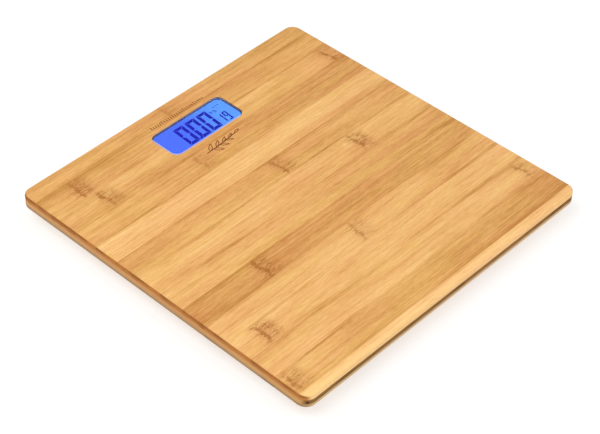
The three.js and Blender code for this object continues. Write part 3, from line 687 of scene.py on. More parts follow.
class Bamboo(Finish):
    """Lacquered bamboo strips whose fibres run along X or along Y."""

    def __init__(self, name, along_x, board):
        super().__init__(name)
        self.board = board
        self.along_x = along_x
        x, y, self.z = self.parts(self.place)
        self.along, across = (x, y) if along_x else (y, x)
        low_tone, high_tone, self.seed = self.facts(STRIP)
        self.tone = self.span(self.along, BOARD_LOW.x, BOARD_HIGH.x, low_tone, high_tone)
        # how far across its strip a point is, from 0 to 1
        offset = self.sum("SUBTRACT", board.first_joint, across)
        self.share = self.sum("FRACT", self.sum("DIVIDE", offset, board.strip_width))
        # every strip has its own part of this space, whose first axis follows the fibres
        axes = (self.along, across, self.z)
        self.grain = self.vector(
            *(self.sum("MULTIPLY_ADD", self.seed, k, axis) for k, axis in zip(SEED_SHIFTS, axes))
        )
        self.layers = {}
        for layer, (*repeats, detail, roughness, distortion) in GRAIN.items():
            space = self.stretched(self.grain, *repeats)
            self.layers[layer] = self.noise(space, 1, detail, roughness, distortion)
        # the line of a knuckle waves from strip to strip and across each strip
        space = self.vector(self.seed, self.sum("MULTIPLY", across, WAVES), 0.0)
        self.layers["wave"] = self.noise(space, 1, 2)

    def facts(self, name):
        """The three numbers that each strip's faces hold under a name."""
        held = self.node("ShaderNodeAttribute", attribute_name=name)
        return self.parts(held.outputs["Vector"])

    def swing(self, layer):
        """A layer of noise about zero."""
        return self.sum("SUBTRACT", self.layers[layer], 0.5)

    def off_centre(self):
        """How far a point is from the middle of its strip, from -0.5 to 0.5."""
        return self.sum("SUBTRACT", self.share, 0.5)

    def dark_edges(self):
        """Where the long edges of a strip are darker, here and there."""
        ragged = self.sum("MULTIPLY", self.swing("streak"), 0.22)
        run = self.sum("MULTIPLY", self.along, EDGE_SPELLS)
        edges = []
        for share, width, level, low, high in (
            (self.share, 0.20, 0.0, 0.42, 0.66),
            (self.sum("SUBTRACT", 1.0, self.share), 0.17, 5.0, 0.40, 0.64),
        ):
            here = self.noise(self.vector(run, self.seed, level), 1, 2)
            near = self.steps(self.sum("ADD", share, ragged), 0.0, width, 1.0, 0.0)
            edges.append(self.sum("MULTIPLY", near, self.steps(here, low, high)))
        return self.sum("ADD", *edges)

    def knuckles(self):
        """The zone of bent fibres round each knuckle, and how dark the wood is there."""
        *places, strength = self.facts(KNUCKLES)
        zone = ridge = 0.0
        for place in places:
            gap = self.sum("SUBTRACT", self.along, place)
            gap = self.sum("MULTIPLY_ADD", self.swing("wave"), KNUCKLE_WAVE, gap)
            gap = self.sum("MULTIPLY_ADD", self.swing("jag"), KNUCKLE_TEAR, gap)
            line = self.steps(self.sum("ABSOLUTE", gap), *KNUCKLE_LINE, 1.0, 0.0)
            aside = self.sum("ABSOLUTE", self.sum("SUBTRACT", gap, KNUCKLE_ASIDE))
            ridge = self.sum("ADD", ridge, line)
            zone = self.sum("ADD", zone, self.steps(aside, *KNUCKLE_ZONE, 1.0, 0.0))
        # fainter towards the strip's edges
        middle = self.steps(self.sum("ABSOLUTE", self.off_centre()), 0.28, 0.5, 1.0, 0.4)
        weight = self.sum("MULTIPLY", middle, strength)
        zone = self.sum("MULTIPLY", zone, weight)
        ridge = self.sum("MULTIPLY", ridge, weight)
        blotch = self.layers["blotch"]
        spots = self.steps(blotch, 0.42, 0.66)
        streaks = self.sum("MULTIPLY_ADD", spots, 0.40, 0.20)
        inside = self.sum("MULTIPLY_ADD", spots, 0.42, 0.20)
        bent = self.steps(self.layers["bent"], 0.46, 0.64)
        inside = self.sum("MULTIPLY_ADD", bent, streaks, inside)
        dark = self.sum("MULTIPLY", zone, inside)
        line = self.steps(blotch, 0.30, 0.60, 0.15, 0.8)
        return zone, self.sum("MULTIPLY_ADD", ridge, line, dark)

    def faces(self, zone, dark):
        """Colour of the strips along the fibres."""
        board = self.board
        light = self.tone
        for layer, share in GRAIN_SHARES.items():
            light = self.sum("MULTIPLY_ADD", self.swing(layer), share, light)
        flecks = self.steps(self.layers["fleck"], 0.60, 0.74)
        light = self.sum("MULTIPLY_ADD", flecks, -0.20, light)
        # each strip is a little lighter towards one of its edges
        lean = self.sum("SUBTRACT", self.sum("FRACT", self.sum("MULTIPLY", self.seed, 7.3)), 0.5)
        tilt = self.sum("MULTIPLY", self.off_centre(), lean)
        light = self.sum("MULTIPLY_ADD", tilt, 0.40, light)
        light = self.sum("MULTIPLY_ADD", self.dark_edges(), -0.36, light)
        bent = self.sum("MULTIPLY_ADD", self.layers["bent"], -1.6, 0.8)
        light = self.sum("MULTIPLY_ADD", zone, bent, light)
        colour = self.ramp(light, (0.0, board.darkest), (0.5, board.middle), (1.0, board.lightest))
        warmth = self.layers["warmth"]
        for low, high, at_low, at_high, tinge in (
            (0.40, 0.68, 0.0, 0.16, linear(222, 132, 84)),
            (0.34, 0.58, 0.12, 0.0, linear(240, 196, 96)),
        ):
            share = self.steps(warmth, low, high, at_low, at_high)
            colour = self.blend(share, colour, tinge)
        return self.blend(self.sum("MINIMUM", dark, 0.8), colour, board.knuckle)

    def cut_ends(self, colour):
        """Where fibres end, the dots of their bundles, and their colour."""
        normal = self.node("ShaderNodeTexCoord").outputs["Normal"]
        facing = self.parts(normal)[0 if self.along_x else 1]
        end = self.steps(self.sum("ABSOLUTE", facing), 0.30, 0.72)
        bundles = self.steps(self.cells(self.stretched(self.grain, 300, 1300, 1100), 1), 0.15, 0.5)
        wood = self.blend(bundles, dimmed(colour, 0.8), colour)
        # dark in patches on dark strips, and painted shade along the round edge on top
        patch = self.layers["patch"]
        patched = self.steps(patch, 0.35, 0.70, 0.15, 0.85)
        shade = self.sum("SUBTRACT", patched, self.tone, clamp=True)
        # painted shade: the cut ends darken just under the board's top, where the round edge is in
        # shade
        near, far = TOP_EDGE_SHADE
        rim = self.steps(self.z, BOARD_HIGH.z - far, BOARD_HIGH.z - near, 0.0, 0.85)
        rim = self.sum("MULTIPLY", rim, self.steps(patch, 0.35, 0.62, 0.35, 1.0))
        # one darker colour for the real dark patches and for the painted edge shade
        dark_patch_and_shade = tuple(c * share for c, share in zip(colour, DARK_PATCH_AND_SHADE_SHARES))
        wood = self.blend(self.sum("MAXIMUM", shade, rim), wood, dark_patch_and_shade)
        return end, bundles, wood


def bamboo(name, along_x, board, ends, tint=None, dark_spot=None):
    """Lacquered bamboo for one ply.

    ends is the colour of the cut ends and tint is a share and a colour mixed in. dark_spot is
    where a small dark spot is painted.
    """
    f = Bamboo(name, along_x, board)
    zone, dark = f.knuckles()
    colour = f.faces(zone, dark)
    if tint:
        colour = f.blend(tint[0], colour, tint[1])
    end, bundles, end_colour = f.cut_ends(ends)
    colour = f.blend(end, colour, end_colour)
    if dark_spot:
        spot_share = f.steps(f.distance(f.place, dark_spot), *DARK_SPOT, 0.85, 0.0)
        colour = f.blend(spot_share, colour, linear(58, 30, 12))
    streak = f.layers["streak"]
    relief = f.sum("MULTIPLY_ADD", f.layers["fibre"], 0.5, streak)
    relief = f.sum("MULTIPLY_ADD", dark, -1.2, relief)
    relief = f.sum("MULTIPLY_ADD", end, bundles, relief)
    f.bump(relief, 0.05 * MM, 0.6)
    rough = f.sum("MULTIPLY_ADD", streak, 0.22, f.steps(end, 0.0, 1.0, 0.38, 0.7))
    f.set(Base_Color=colour, Roughness=rough, Specular_IOR_Level=0.3)
    return f.material


class SCALE_OT_laminate_board(bpy.types.Operator):
    """Divide the three plies into bamboo strips and lacquer them"""

    bl_idname = "scale.laminate_board"
    bl_label = "Laminate board"

    def execute(self, context):
        board = context.scene.scale_board
        joint, width = board.first_joint, board.strip_width
        rows = strip_limits(BOARD_LOW.y, BOARD_HIGH.y, joint, width)
        columns = strip_limits(BOARD_LOW.x, BOARD_HIGH.x, joint, width)
        core, back = [], []
        for i in range(len(columns)):
            tone = 0.7 * chance(i + 40)
            core.append((tone, tone, AWAY, AWAY, 0.0))
        for i in range(len(rows)):
            tone = 0.3 + 0.5 * chance(i + 80)
            knuckle = BOARD_HIGH.x / MM * (2 * chance(i + 120) - 1)
            back.append((tone, tone + 0.1 * chance(i + 90), knuckle, AWAY, 0.8))
        brown = (0.5, linear(184, 130, 74))
        grey = (0.55, linear(172, 146, 106))
        # a small dark spot painted near the core ply's front left corner
        dark_spot = BOARD_LOW + Vector((3.4, 2.0, 5.6)) * MM
        face = bamboo("face_bamboo", True, board, board.face_ends)
        middle = bamboo("core_bamboo", False, board, board.core_ends, brown, dark_spot)
        under = bamboo("back_bamboo", True, board, board.back_ends_and_shade, grey)
        for ply, axis, facts, limits, material in (
            ("face", 1, FACE_STRIPS, rows, face),
            ("core", 0, core, columns, middle),
            ("back", 1, back, rows, under),
        ):
            node = f"platform_{ply}_ply"
            made = laminate(f"{ply}_strips", node, axis, facts, limits, material, board.seam)
        return {"FINISHED"}


# ------------------------------------------------------------------ display


def painted_edge_highlight(f):
    """How much painted highlight the window's edges nearest the user and on the left get, for the
    light that they scatter.
    """
    centre = (WINDOW_LOW + WINDOW_HIGH) / 2
    reach = []
    for axis, value in enumerate(f.parts(f.place)[:2]):
        straight = WINDOW_HIGH[axis] - WINDOW_LIP - centre[axis] - WINDOW_ROUND
        off = f.sum("ABSOLUTE", f.sum("SUBTRACT", value, centre[axis] + HIGHLIGHT_SHIFT))
        reach.append(f.sum("MAXIMUM", f.sum("SUBTRACT", off, straight), 0.0))
    far = f.distance(f.vector(*reach, 0.0))
    return f.steps(far, WINDOW_ROUND - 0.2 * MM, WINDOW_ROUND + 0.3 * MM, 0.0, 0.75)


def clear_acrylic():
    """Clear acrylic with faint wipe marks and a painted lilac highlight along two edges."""
    f = Finish("clear_acrylic")
    smear = f.noise(f.stretched(f.place, 60, 220, 60), 1, 3)
    f.bump(smear, 0.001 * MM, 0.1)
    edge_highlight = painted_edge_highlight(f)
    f.set(
        # painted highlight: on the near and left edges, a lilac base colour, less transmission and
        # more roughness stand in for backlight leaking out there
        Base_Color=f.blend(edge_highlight, WHITE, linear(168, 166, 214)),
        Roughness=f.sum("MULTIPLY_ADD", edge_highlight, 0.8, f.steps(smear, 0.45, 0.8, 0.0, 0.03)),
        IOR=1.25,
        Transmission_Weight=f.sum("SUBTRACT", 1.0, edge_highlight),
    )
    return f.material


def lit_glass(display):
    """Display glass, lit blue from behind and brighter towards the lamps."""
    f = Finish("lit_glass")
    run = f.span(f.parts(f.place)[0], WINDOW_LOW.x, WINDOW_HIGH.x)
    drift = f.noise(f.stretched(f.place, 40, 60, 1), 1, 1)
    share = f.sum("MULTIPLY_ADD", f.sum("SUBTRACT", drift, 0.5), 0.25, run)
    left, right = display.left_glow, display.right_glow
    glow = f.ramp(share, (0.0, left), (0.45, left), (0.8, right))
    f.bump(f.noise(f.place, 1500, 2), 0.005 * MM, 0.2)
    f.set(
        Base_Color=f.blend(0.8, glow, BLACK),
        Roughness=0.4,
        Specular_IOR_Level=0.2,
        Emission_Color=glow,
        Emission_Strength=0.95,
    )
    return f.material


def segment_ink(display):
    """Switched-on segments of the display."""
    f = Finish("segment_ink")
    ink = f.blend(f.noise(f.place, 300, 2), display.segment, dimmed(display.segment, 0.7))
    f.set(
        Base_Color=f.blend(0.9, ink, BLACK),
        Roughness=0.6,
        Specular_IOR_Level=0.0,
        Emission_Color=ink,
        Emission_Strength=1.2,
    )
    return f.material


def digit_outlines(lit, left, bottom, height, slant, digits):
    """The dark bars of one digit, mitred where they meet."""
    width, stroke, gap = digits["width"], digits["stroke"], digits["gap"]
    half, mid = stroke / 2, height / 2
    lean = math.tan(slant)
    top_bar = [
        (gap, height),
        (width - gap, height),
        (width - stroke - gap, height - stroke),
        (stroke + gap, height - stroke),
    ]
    middle_bar = [
        (gap + half, mid),
        (stroke + gap, mid + half),
        (width - stroke - gap, mid + half),
        (width - gap - half, mid),
        (width - stroke - gap, mid - half),
        (stroke + gap, mid - half),
    ]
    upper_left = [
        (0, height - gap),
        (stroke, height - stroke - gap),
        (stroke, mid + half + gap),
        (half, mid + gap),
        (0, mid + gap),
    ]

    def mirrored(points):
        return [(width - x, y) for x, y in reversed(points)]

    def turned_over(points):
        return [(x, height - y) for x, y in reversed(points)]

    bars = {
        "a": top_bar,
        "b": mirrored(upper_left),
        "c": mirrored(turned_over(upper_left)),
        "d": turned_over(top_bar),
        "e": turned_over(upper_left),
        "f": upper_left,
        "g": middle_bar,
    }
    return [
        [(left + x + lean * (y - mid), bottom + y) for x, y in bars[key]] for key in lit
    ]


def reading_outlines(text, bottom, height, slant, digits):
    """A row of digits, with a square dot for a point."""
    left = WINDOW_LOW.x + digits["left"]
    bottom += digits["raised"]
    outlines = []
    for sign in text:
        if sign == ".":
            low, high = left - POINT_SETBACK, left - POINT_SETBACK + POINT_SIZE
            top = bottom + POINT_SIZE
            outlines.append([(low, bottom), (high, bottom), (high, top), (low, top)])
        else:
            outlines += digit_outlines(LIT_BARS[sign], left, bottom, height, slant, digits)
            left += digits["pitch"]
    return outlines


def display_outlines(display):
    """Every dark shape on the display: two readings and the small unit marks."""
    middle = (WINDOW_LOW.y + WINDOW_HIGH.y) / 2 - DIGITS_BELOW_MIDDLE
    height, slant = display.digit_height, display.slant
    bottom = middle - height / 2
    outlines = reading_outlines(display.digits, bottom, height, slant, LARGE_DIGITS)
    outlines += reading_outlines(
        display.small_digits, bottom, SMALL_DIGIT_HEIGHT, slant, SMALL_DIGITS
    )
    for mark in UNIT_MARKS:
        points = [(WINDOW_LOW.x + x * MM, bottom + y * MM) for x, y in mark]
        outlines += ribbon(points, UNIT_STROKE)
    return outlines


def foam():
    """Black closed-cell foam, with the display's blue glow on it painted in as emission."""
    f = Finish("black_foam_finish")
    cell = f.cells(f.place, 2500)
    f.bump(cell, 0.05 * MM, 0.5)
    f.set(
        Base_Color=f.blend(cell, linear(34, 36, 44), linear(54, 58, 70)),
        Roughness=0.92,
        # painted light: the foam is no lamp, and this emission stands in for the backlight falling
        # on it
        Emission_Color=linear(70, 88, 140),
        Emission_Strength=0.6,
    )
    return f.material


def light_guide(display):
    """Light guide with its grid of diffusing dots."""
    f = Finish("light_guide_finish")
    dots = f.steps(f.cells(f.stretched(f.place, 1, 1, 0), 700), 0.2, 0.45)
    glow = f.blend(dots, display.right_glow, display.left_glow)
    f.set(Base_Color=glow, Roughness=0.35, Emission_Color=glow, Emission_Strength=0.7)
    return f.material


def lamp_strip():
    """White carrier with a yellow lamp every few millimetres."""
    f = Finish("lamp_strip_finish")
    wave = f.sum("SINE", f.sum("MULTIPLY", f.parts(f.place)[1], 900.0))
    lit = f.steps(wave, 0.2, 0.5)
    f.set(Base_Color=f.blend(lit, (0.85, 0.85, 0.82), (0.9, 0.72, 0.2)), Roughness=0.45)
    return f.material


def zebra():
    """Connector strip of thin conducting and insulating layers."""
    f = Finish("zebra_finish")
    wave = f.sum("SINE", f.sum("MULTIPLY", f.parts(f.place)[0], 12000.0))
    layer = f.steps(wave, -0.2, 0.2)
    f.set(Base_Color=f.blend(layer, (0.02, 0.02, 0.022), (0.55, 0.55, 0.52)), Roughness=0.7)
    return f.material


class SCALE_OT_light_display(bpy.types.Operator):
    """Finish the window and the display, and switch its backlight on"""

    bl_idname = "scale.light_display"
    bl_label = "Light display"

    def execute(self, context):
        display = context.scene.scale_display
        dress(["display_window"], clear_acrylic(), "clear_window", edge=0.55 * MM, segments=4)
        dress(["lcd_front_glass", "lcd_rear_glass"], lit_glass(display), "display_glass")
        ink = flat_shapes(
            display_outlines(display), GLASS_TOP + 0.01 * MM, GLASS_TOP + 0.05 * MM
        )
        digits = piece("display_digits", ink, segment_ink(display))
        dress(["display_gasket"], foam(), "black_foam", edge=0.05 * MM)
        dress(["backlight_panel"], light_guide(display), "light_guide")
        dress(["backlight_led_bar"], lamp_strip(), "lamp_strip")
        dress(["zebra_strip"], zebra(), "elastomer")
        return {"FINISHED"}


# ------------------------------------------------------------------ burnt marks


def burnt_wood(marks):
    """Laser-burnt bamboo, darker where the beam dwelt."""
    f = Finish("burnt_wood")
    dwell = f.noise(f.stretched(f.place, 500, 900, 900), 1, 3, 0.7)
    colour = f.blend(f.steps(dwell, 0.3, 0.7), dimmed(marks.burnt, 0.72), marks.burnt)
    f.bump(dwell, 0.03 * MM, 0.6)
    f.set(Base_Color=colour, Roughness=0.85)
    return f.material


def tick_row(marks, centre_x, centre_y):
    """A plain graduated row of ticks, every fifth one tall."""
    count = 25
    short = 0.7
    foot = centre_y - marks.tick_height / 2
    outlines = []
    for i in range(count):
        tall = marks.tick_height * (1.0 if i % 5 == 0 else short)
        x = centre_x + (i - (count - 1) / 2) * marks.tick_pitch
        outlines += ribbon([(x, foot), (x, foot + tall)], marks.stroke)
    return outlines


def leaf(base, angle, length, breadth, stroke):
    """The outline of a slim leaf, drawn as a thin line."""
    way = Vector((math.cos(angle), math.sin(angle)))
    across = Vector((-way.y, way.x))
    steps = 9
    rim = []
    for side in (1, -1):
        for i in range(steps):
            t = i / steps if side == 1 else 1 - i / steps
            bulge = math.sin(math.pi * t**0.75) * breadth / 2
            rim.append(Vector(base) + way * (t * length) + across * (side * bulge))
    return ribbon(rim, stroke, closed=True)


def sprig(marks, centre):
    """A plain sprig: a bent stem with slim leaves on both sides."""
    cx, cy = centre
    half = marks.sprig_length / 2
    fine = marks.stroke * 0.85

    def stem(t):
        return cx + (2 * t - 1) * half, cy - 1.6 * MM + 2.6 * MM * t * t

    outlines = ribbon([stem(i / 14) for i in range(15)], marks.stroke)
    for i in range(7):
        side = 1 if i % 2 == 0 else -1
        length = (9.0 - 0.55 * i) * MM
        angle = side * math.radians(48 - 3 * i)
        outlines += leaf(stem(0.12 + 0.11 * i), angle, length, 0.3 * length, fine)
    outlines += leaf(stem(1), math.radians(14), 5.5 * MM, 1.8 * MM, fine)
    return outlines


class SCALE_OT_burn_marks(bpy.types.Operator):
    """Burn plain generic marks above and below the display"""

    bl_idname = "scale.burn_marks"
    bl_label = "Burn marks"

    def execute(self, context):
        marks = context.scene.scale_marks
        low, high = BOARD_HIGH.z - 0.02 * MM, BOARD_HIGH.z + 0.02 * MM
        wood = burnt_wood(marks)
        ticks = tick_row(marks, -1.2 * MM, WINDOW_HIGH.y + 4.0 * MM)
        piece("burnt_ticks", flat_shapes(ticks, low, high), wood)
        leaves = sprig(marks, (-2 * MM, WINDOW_LOW.y - 9.6 * MM))
        piece("burnt_sprig", flat_shapes(leaves, low, high), wood)
        return {"FINISHED"}


# ------------------------------------------------------------------ plastics, rubber, metal


def moulded(name, colour, grit=0.02 * MM, rough=0.48):
    """Moulded plastic with a fine spark-eroded texture."""
    f = Finish(name)
    cloud = f.noise(f.place, 60, 2)
    shade = f.blend(f.steps(cloud, 0.3, 0.7), dimmed(colour, 0.93), colour)
    f.bump(f.noise(f.place, 2600, 2, 0.6), grit, 0.35)
    f.set(Base_Color=shade, Roughness=f.steps(cloud, 0.2, 0.8, rough - 0.06, rough + 0.08))
    return f.material


def soft_rubber(name, colour):
    """Matt rubber with dust in its pores."""
    f = Finish(name)
    dust = f.noise(f.place, 140, 4, 0.65)
    shade = f.blend(f.steps(dust, 0.35, 0.75, 0.0, 0.5), colour, (0.42, 0.42, 0.41))
    f.bump(f.cells(f.place, 1800), 0.03 * MM, 0.4)
    f.set(Base_Color=shade, Roughness=f.steps(dust, 0.3, 0.7, 0.72, 0.92))
    return f.material


def plated_steel(name, colour, rough=0.28):
    """Bright plated steel with fine drawing lines and a dull patch here and there."""
    f = Finish(name)
    lines = f.noise(f.stretched(f.place, 160, 3200, 900), 1, 3, 0.6)
    patch = f.noise(f.place, 220, 3)
    f.bump(lines, 0.01 * MM, 0.3)
    f.set(
        Base_Color=f.blend(f.steps(patch, 0.4, 0.75, 0.0, 0.6), colour, dimmed(colour, 0.7)),
        Metallic=1.0,
        Roughness=f.sum("MULTIPLY_ADD", patch, 0.25, rough - 0.08),
    )
    return f.material


def circuit_board():
    """Green solder mask over copper tracks, with tinned pads."""
    f = Finish("circuit_board_finish")
    flat = f.stretched(f.place, 1, 1, 0)
    tracks = f.node("ShaderNodeTexBrick", offset=0.35, squash=1.0)
    spacing = {"Brick_Width": 0.9, "Row_Height": 0.3, "Mortar_Size": 0.03, "Mortar_Smooth": 0.1}
    f.feed_all(tracks, Vector=flat, Scale=90, **spacing)
    track = tracks.outputs["Fac"]
    pads = f.steps(f.cells(flat, 220), 0.12, 0.16, 1.0, 0.0)
    mask = f.blend(track, linear(22, 98, 52), linear(32, 118, 62))
    f.bump(track, 0.03 * MM, 0.5)
    f.set(
        Base_Color=f.blend(pads, mask, linear(196, 198, 196)),
        Roughness=f.steps(pads, 0, 1, 0.38, 0.25),
        Metallic=pads,
    )
    return f.material


def potting_resin():
    """Glossy black resin over the chip."""
    f = Finish("potting_resin")
    flow = f.noise(f.place, 400, 2)
    f.bump(flow, 0.04 * MM, 0.4)
    f.set(Base_Color=f.blend(flow, (0.008, 0.008, 0.009), (0.02, 0.02, 0.022)), Roughness=0.22)
    return f.material


def cell_jacket():
    """A dry cell's plain two-colour jacket between its steel ends."""
    f = Finish("cell_jacket_finish")
    scuff = f.noise(f.stretched(f.place, 90, 700, 700), 1, 3, 0.6)
    side = f.sum("ABSOLUTE", f.parts(f.place)[0])
    band = f.steps(side, 10.2 * MM, 10.8 * MM)
    jacket = f.blend(band, linear(34, 92, 62), linear(202, 168, 92))
    metal = f.steps(side, 21.6 * MM, 21.9 * MM)
    shade = f.blend(metal, jacket, linear(196, 198, 200))
    shade = f.blend(f.steps(scuff, 0.6, 0.85, 0.0, 0.5), shade, (0.5, 0.5, 0.48))
    f.bump(scuff, 0.01 * MM, 0.3)
    f.set(Base_Color=shade, Metallic=metal, Roughness=f.sum("MULTIPLY_ADD", scuff, 0.2, 0.22))
    return f.material


def wire_sheath(name, colour):
    """Soft PVC insulation."""
    f = Finish(name)
    dull = f.noise(f.place, 500, 3)
    f.bump(dull, 0.02 * MM, 0.3)
    f.set(
        Base_Color=f.blend(dull, dimmed(colour, 0.8), colour),
        Roughness=f.steps(dull, 0.3, 0.7, 0.35, 0.55),
    )
    return f.material


def crepe_tape():
    """Creped paper tape."""
    f = Finish("crepe_tape")
    crease = f.noise(f.stretched(f.place, 260, 1500, 1500), 1, 3, 0.6, 0.5)
    f.bump(crease, 0.08 * MM, 0.7)
    shade = f.blend(crease, linear(196, 170, 112), linear(226, 204, 150))
    f.set(Base_Color=shade, Roughness=0.85)
    return f.material


# ------------------------------------------------------------------ electronics


class SCALE_OT_fit_electronics(bpy.types.Operator):
    """Finish the circuit board, the dry cells and their contacts"""

    bl_idname = "scale.fit_electronics"
    bl_label = "Fit electronics"

    def execute(self, context):
        dark = moulded("dark_plastic_finish", linear(38, 38, 41))
        nickel = plated_steel("nickel_finish", linear(198, 196, 190), 0.3)
        dress(["main_board"], circuit_board(), "circuit_board", edge=0.08 * MM)
        dress(["chip_blob"], potting_resin(), "epoxy", edge=0.1 * MM)
        dress(["quartz_crystal"], nickel, "nickel_plate")
        dress(["supply_capacitor", "unit_switch_body"], dark, "dark_plastic")
        dress(["battery_front", "battery_back"], cell_jacket(), "cell_jacket", edge=0.12 * MM)
        contacts = ("negative_contact", "positive_contact", "bridge_contact")
        dress(contacts, nickel, "nickel_plate", edge=0.05 * MM, angle=50)
        dress(["positive_lead"], wire_sheath("red_sheath", linear(176, 38, 32)), "red_wire")
        dress(["negative_lead"], wire_sheath("black_sheath", linear(30, 30, 33)), "black_wire")
        return {"FINISHED"}


# ------------------------------------------------------------------ housing


class SCALE_OT_close_housing(bpy.types.Operator):
    """Finish the housing, the battery door and the unit button"""

    bl_idname = "scale.close_housing"
    bl_label = "Close housing"

    def execute(self, context):
        plastic = context.scene.scale_plastic
        white = moulded("white_plastic_finish", plastic.white)
        grey = moulded("grey_plastic_finish", plastic.grey)
        dress(["electronics_housing", "battery_door"], white, "white_plastic", edge=0.3 * MM)
        dress(["unit_button"], grey, "grey_plastic", edge=0.3 * MM, segments=3)
        dress(["unit_switch_plunger"], grey, "grey_plastic")
        return {"FINISHED"}


# ------------------------------------------------------------------ feet


def corner_place(corner):
    """A corner's own frame: X points along its lead, the origin is on the floor."""
    low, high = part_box(f"{corner}_foot")
    centre = (low + high) / 2
    way = Vector(LEAD_ENTRIES[corner]) * MM - centre.xy
    turn = Matrix.Rotation(math.atan2(way.y, way.x), 4, "Z")
    return Matrix.Translation((centre.x, centre.y, 0)) @ turn


def ring_of_edges(bm, points, z):
    """A closed loop of edges through (x, y) points."""
    verts = [bm.verts.new((x, y, z)) for x, y in points]
    return [bm.edges.new((a, b)) for a, b in zip(verts, verts[1:] + verts[:1])]


def rounded_square(half, radius, steps=5):
    """The outline of a square with round corners."""
    points = []
    inner = half - radius
    for quarter in range(4):
        turn = quarter * math.pi / 2
        cx = inner * (math.cos(turn) - math.sin(turn))
        cy = inner * (math.sin(turn) + math.cos(turn))
        for i in range(steps + 1):
            a = turn + i / steps * math.pi / 2
            points.append((cx + radius * math.cos(a), cy + radius * math.sin(a)))
    return points


def cell_plate(corner, place, low, high, steel):
    """A load cell's plate, with a window for the tongue and the slot round it."""
    bm = bmesh.new()
    side = TONGUE_HALF + TONGUE_SLOT
    tip = TONGUE_TIP - TONGUE_SLOT
    window = [(tip, -side), (TONGUE_ROOT, -side), (TONGUE_ROOT, side), (tip, side)]
    outer = ring_of_edges(bm, rounded_square(PLATE_HALF, PLATE_RADIUS), low)
    inner = ring_of_edges(bm, window, low)
    bmesh.ops.triangle_fill(bm, use_beauty=True, edges=outer + inner)
    extruded(bm, list(bm.faces), high - low)
    bmesh.ops.transform(bm, matrix=place, verts=bm.verts)
    plate = piece(f"{corner}_cell_plate", bm, steel)
    rounded_edges(plate, 0.12 * MM, angle=40)
    return plate


def cell_tongue(corner, place, low, high, steel):
    """A load cell's tongue, in short steps at its root, where a real tongue bends with the foot."""
    bm = bmesh.new()
    bend = [TONGUE_ROOT - i * 0.5 * MM for i in range(7)]
    rows = []
    for x in (*bend, 0.0, TONGUE_TIP):
        rows.append([bm.verts.new((x, y, low)) for y in (-TONGUE_HALF, TONGUE_HALF)])
    faces = [bm.faces.new((a, b, d, c)) for (a, b), (c, d) in zip(rows, rows[1:])]
    extruded(bm, faces, high - low)
    bmesh.ops.transform(bm, matrix=place, verts=bm.verts)
    tongue = meshed(f"{corner}_cell_tongue", bm, steel)
    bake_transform(tongue)
    return tongue


def gauge_cover(corner, place, top, silicone):
    """The uneven drop of silicone over the gauge at the tongue's root."""
    bm = bmesh.new()
    bmesh.ops.create_icosphere(bm, subdivisions=3, radius=1)
    for v in bm.verts:
        x, y, z = v.co
        swell = 1 + 0.06 * math.sin(3 * x + 2 * y) * math.cos(4 * y)
        v.co = Vector((x, y, max(z, -0.1))) * GAUGE_COVER * swell
    shift = Matrix.Translation((TONGUE_ROOT - 0.4 * MM, 0, top))
    bmesh.ops.transform(bm, matrix=place @ shift, verts=bm.verts)
    return piece(f"{corner}_gauge_cover", bm, silicone)


def load_cell(corner, steel, silicone):
    """A sensing plate and its tongue, which in the real scale bends as the foot presses on it."""
    low, high = (limit.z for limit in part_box(f"{corner}_load_cell"))
    place = corner_place(corner)
    plate = cell_plate(corner, place, low, high, steel)
    tongue = cell_tongue(corner, place, low, high, steel)
    for made in (plate, tongue):
        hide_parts(f"{corner}_load_cell")
    gauge_cover(corner, place, high, silicone)


class SCALE_OT_fit_feet(bpy.types.Operator):
    """Finish the feet, their load cells and every screw"""

    bl_idname = "scale.fit_feet"
    bl_label = "Fit feet"

    def execute(self, context):
        plastic = context.scene.scale_plastic
        white = bpy.data.materials["white_plastic_finish"]
        rubber = soft_rubber("rubber_finish", plastic.rubber)
        zinc = plated_steel("zinc_finish", linear(206, 209, 214))
        silicone = moulded("silicone_finish", linear(228, 228, 222), 0.04 * MM, 0.35)
        screws = [f"housing_screw_{n}" for n in (1, 2, 3, 4)]
        for corner in CORNERS:
            dress([f"{corner}_foot_carrier"], white, "white_plastic", edge=0.35 * MM)
            dress([f"{corner}_foot"], white, "white_plastic", edge=0.3 * MM)
            dress([f"{corner}_rubber_pad"], rubber, "grey_rubber", edge=0.3 * MM)
            screws += [f"{corner}_foot_screw_{n}" for n in (1, 2)]
            load_cell(corner, zinc, silicone)
        dress(screws, zinc, "zinc_steel", edge=0.03 * MM)
        return {"FINISHED"}


# ------------------------------------------------------------------ wires


def eased(points, steps):
    """A smooth line through points, which doesn't overshoot where they are close."""
    ends = [points[0] * 2 - points[1], *points, points[-1] * 2 - points[-2]]
    line = []
    for a, b, c, d in zip(ends, ends[1:], ends[2:], ends[3:]):
        t0 = 0.0
        t1 = t0 + math.sqrt((b - a).length)
        t2 = t1 + math.sqrt((c - b).length)
        t3 = t2 + math.sqrt((d - c).length)
        for i in range(steps):
            t = t1 + (t2 - t1) * i / steps
            ab = a.lerp(b, (t - t0) / (t1 - t0))
            bc = b.lerp(c, (t - t1) / (t2 - t1))
            cd = c.lerp(d, (t - t2) / (t3 - t2))
            abc = ab.lerp(bc, (t - t0) / (t2 - t0))
            bcd = bc.lerp(cd, (t - t1) / (t3 - t1))
            line.append(abc.lerp(bcd, (t - t1) / (t2 - t1)))
    line.append(points[-1])
    return line


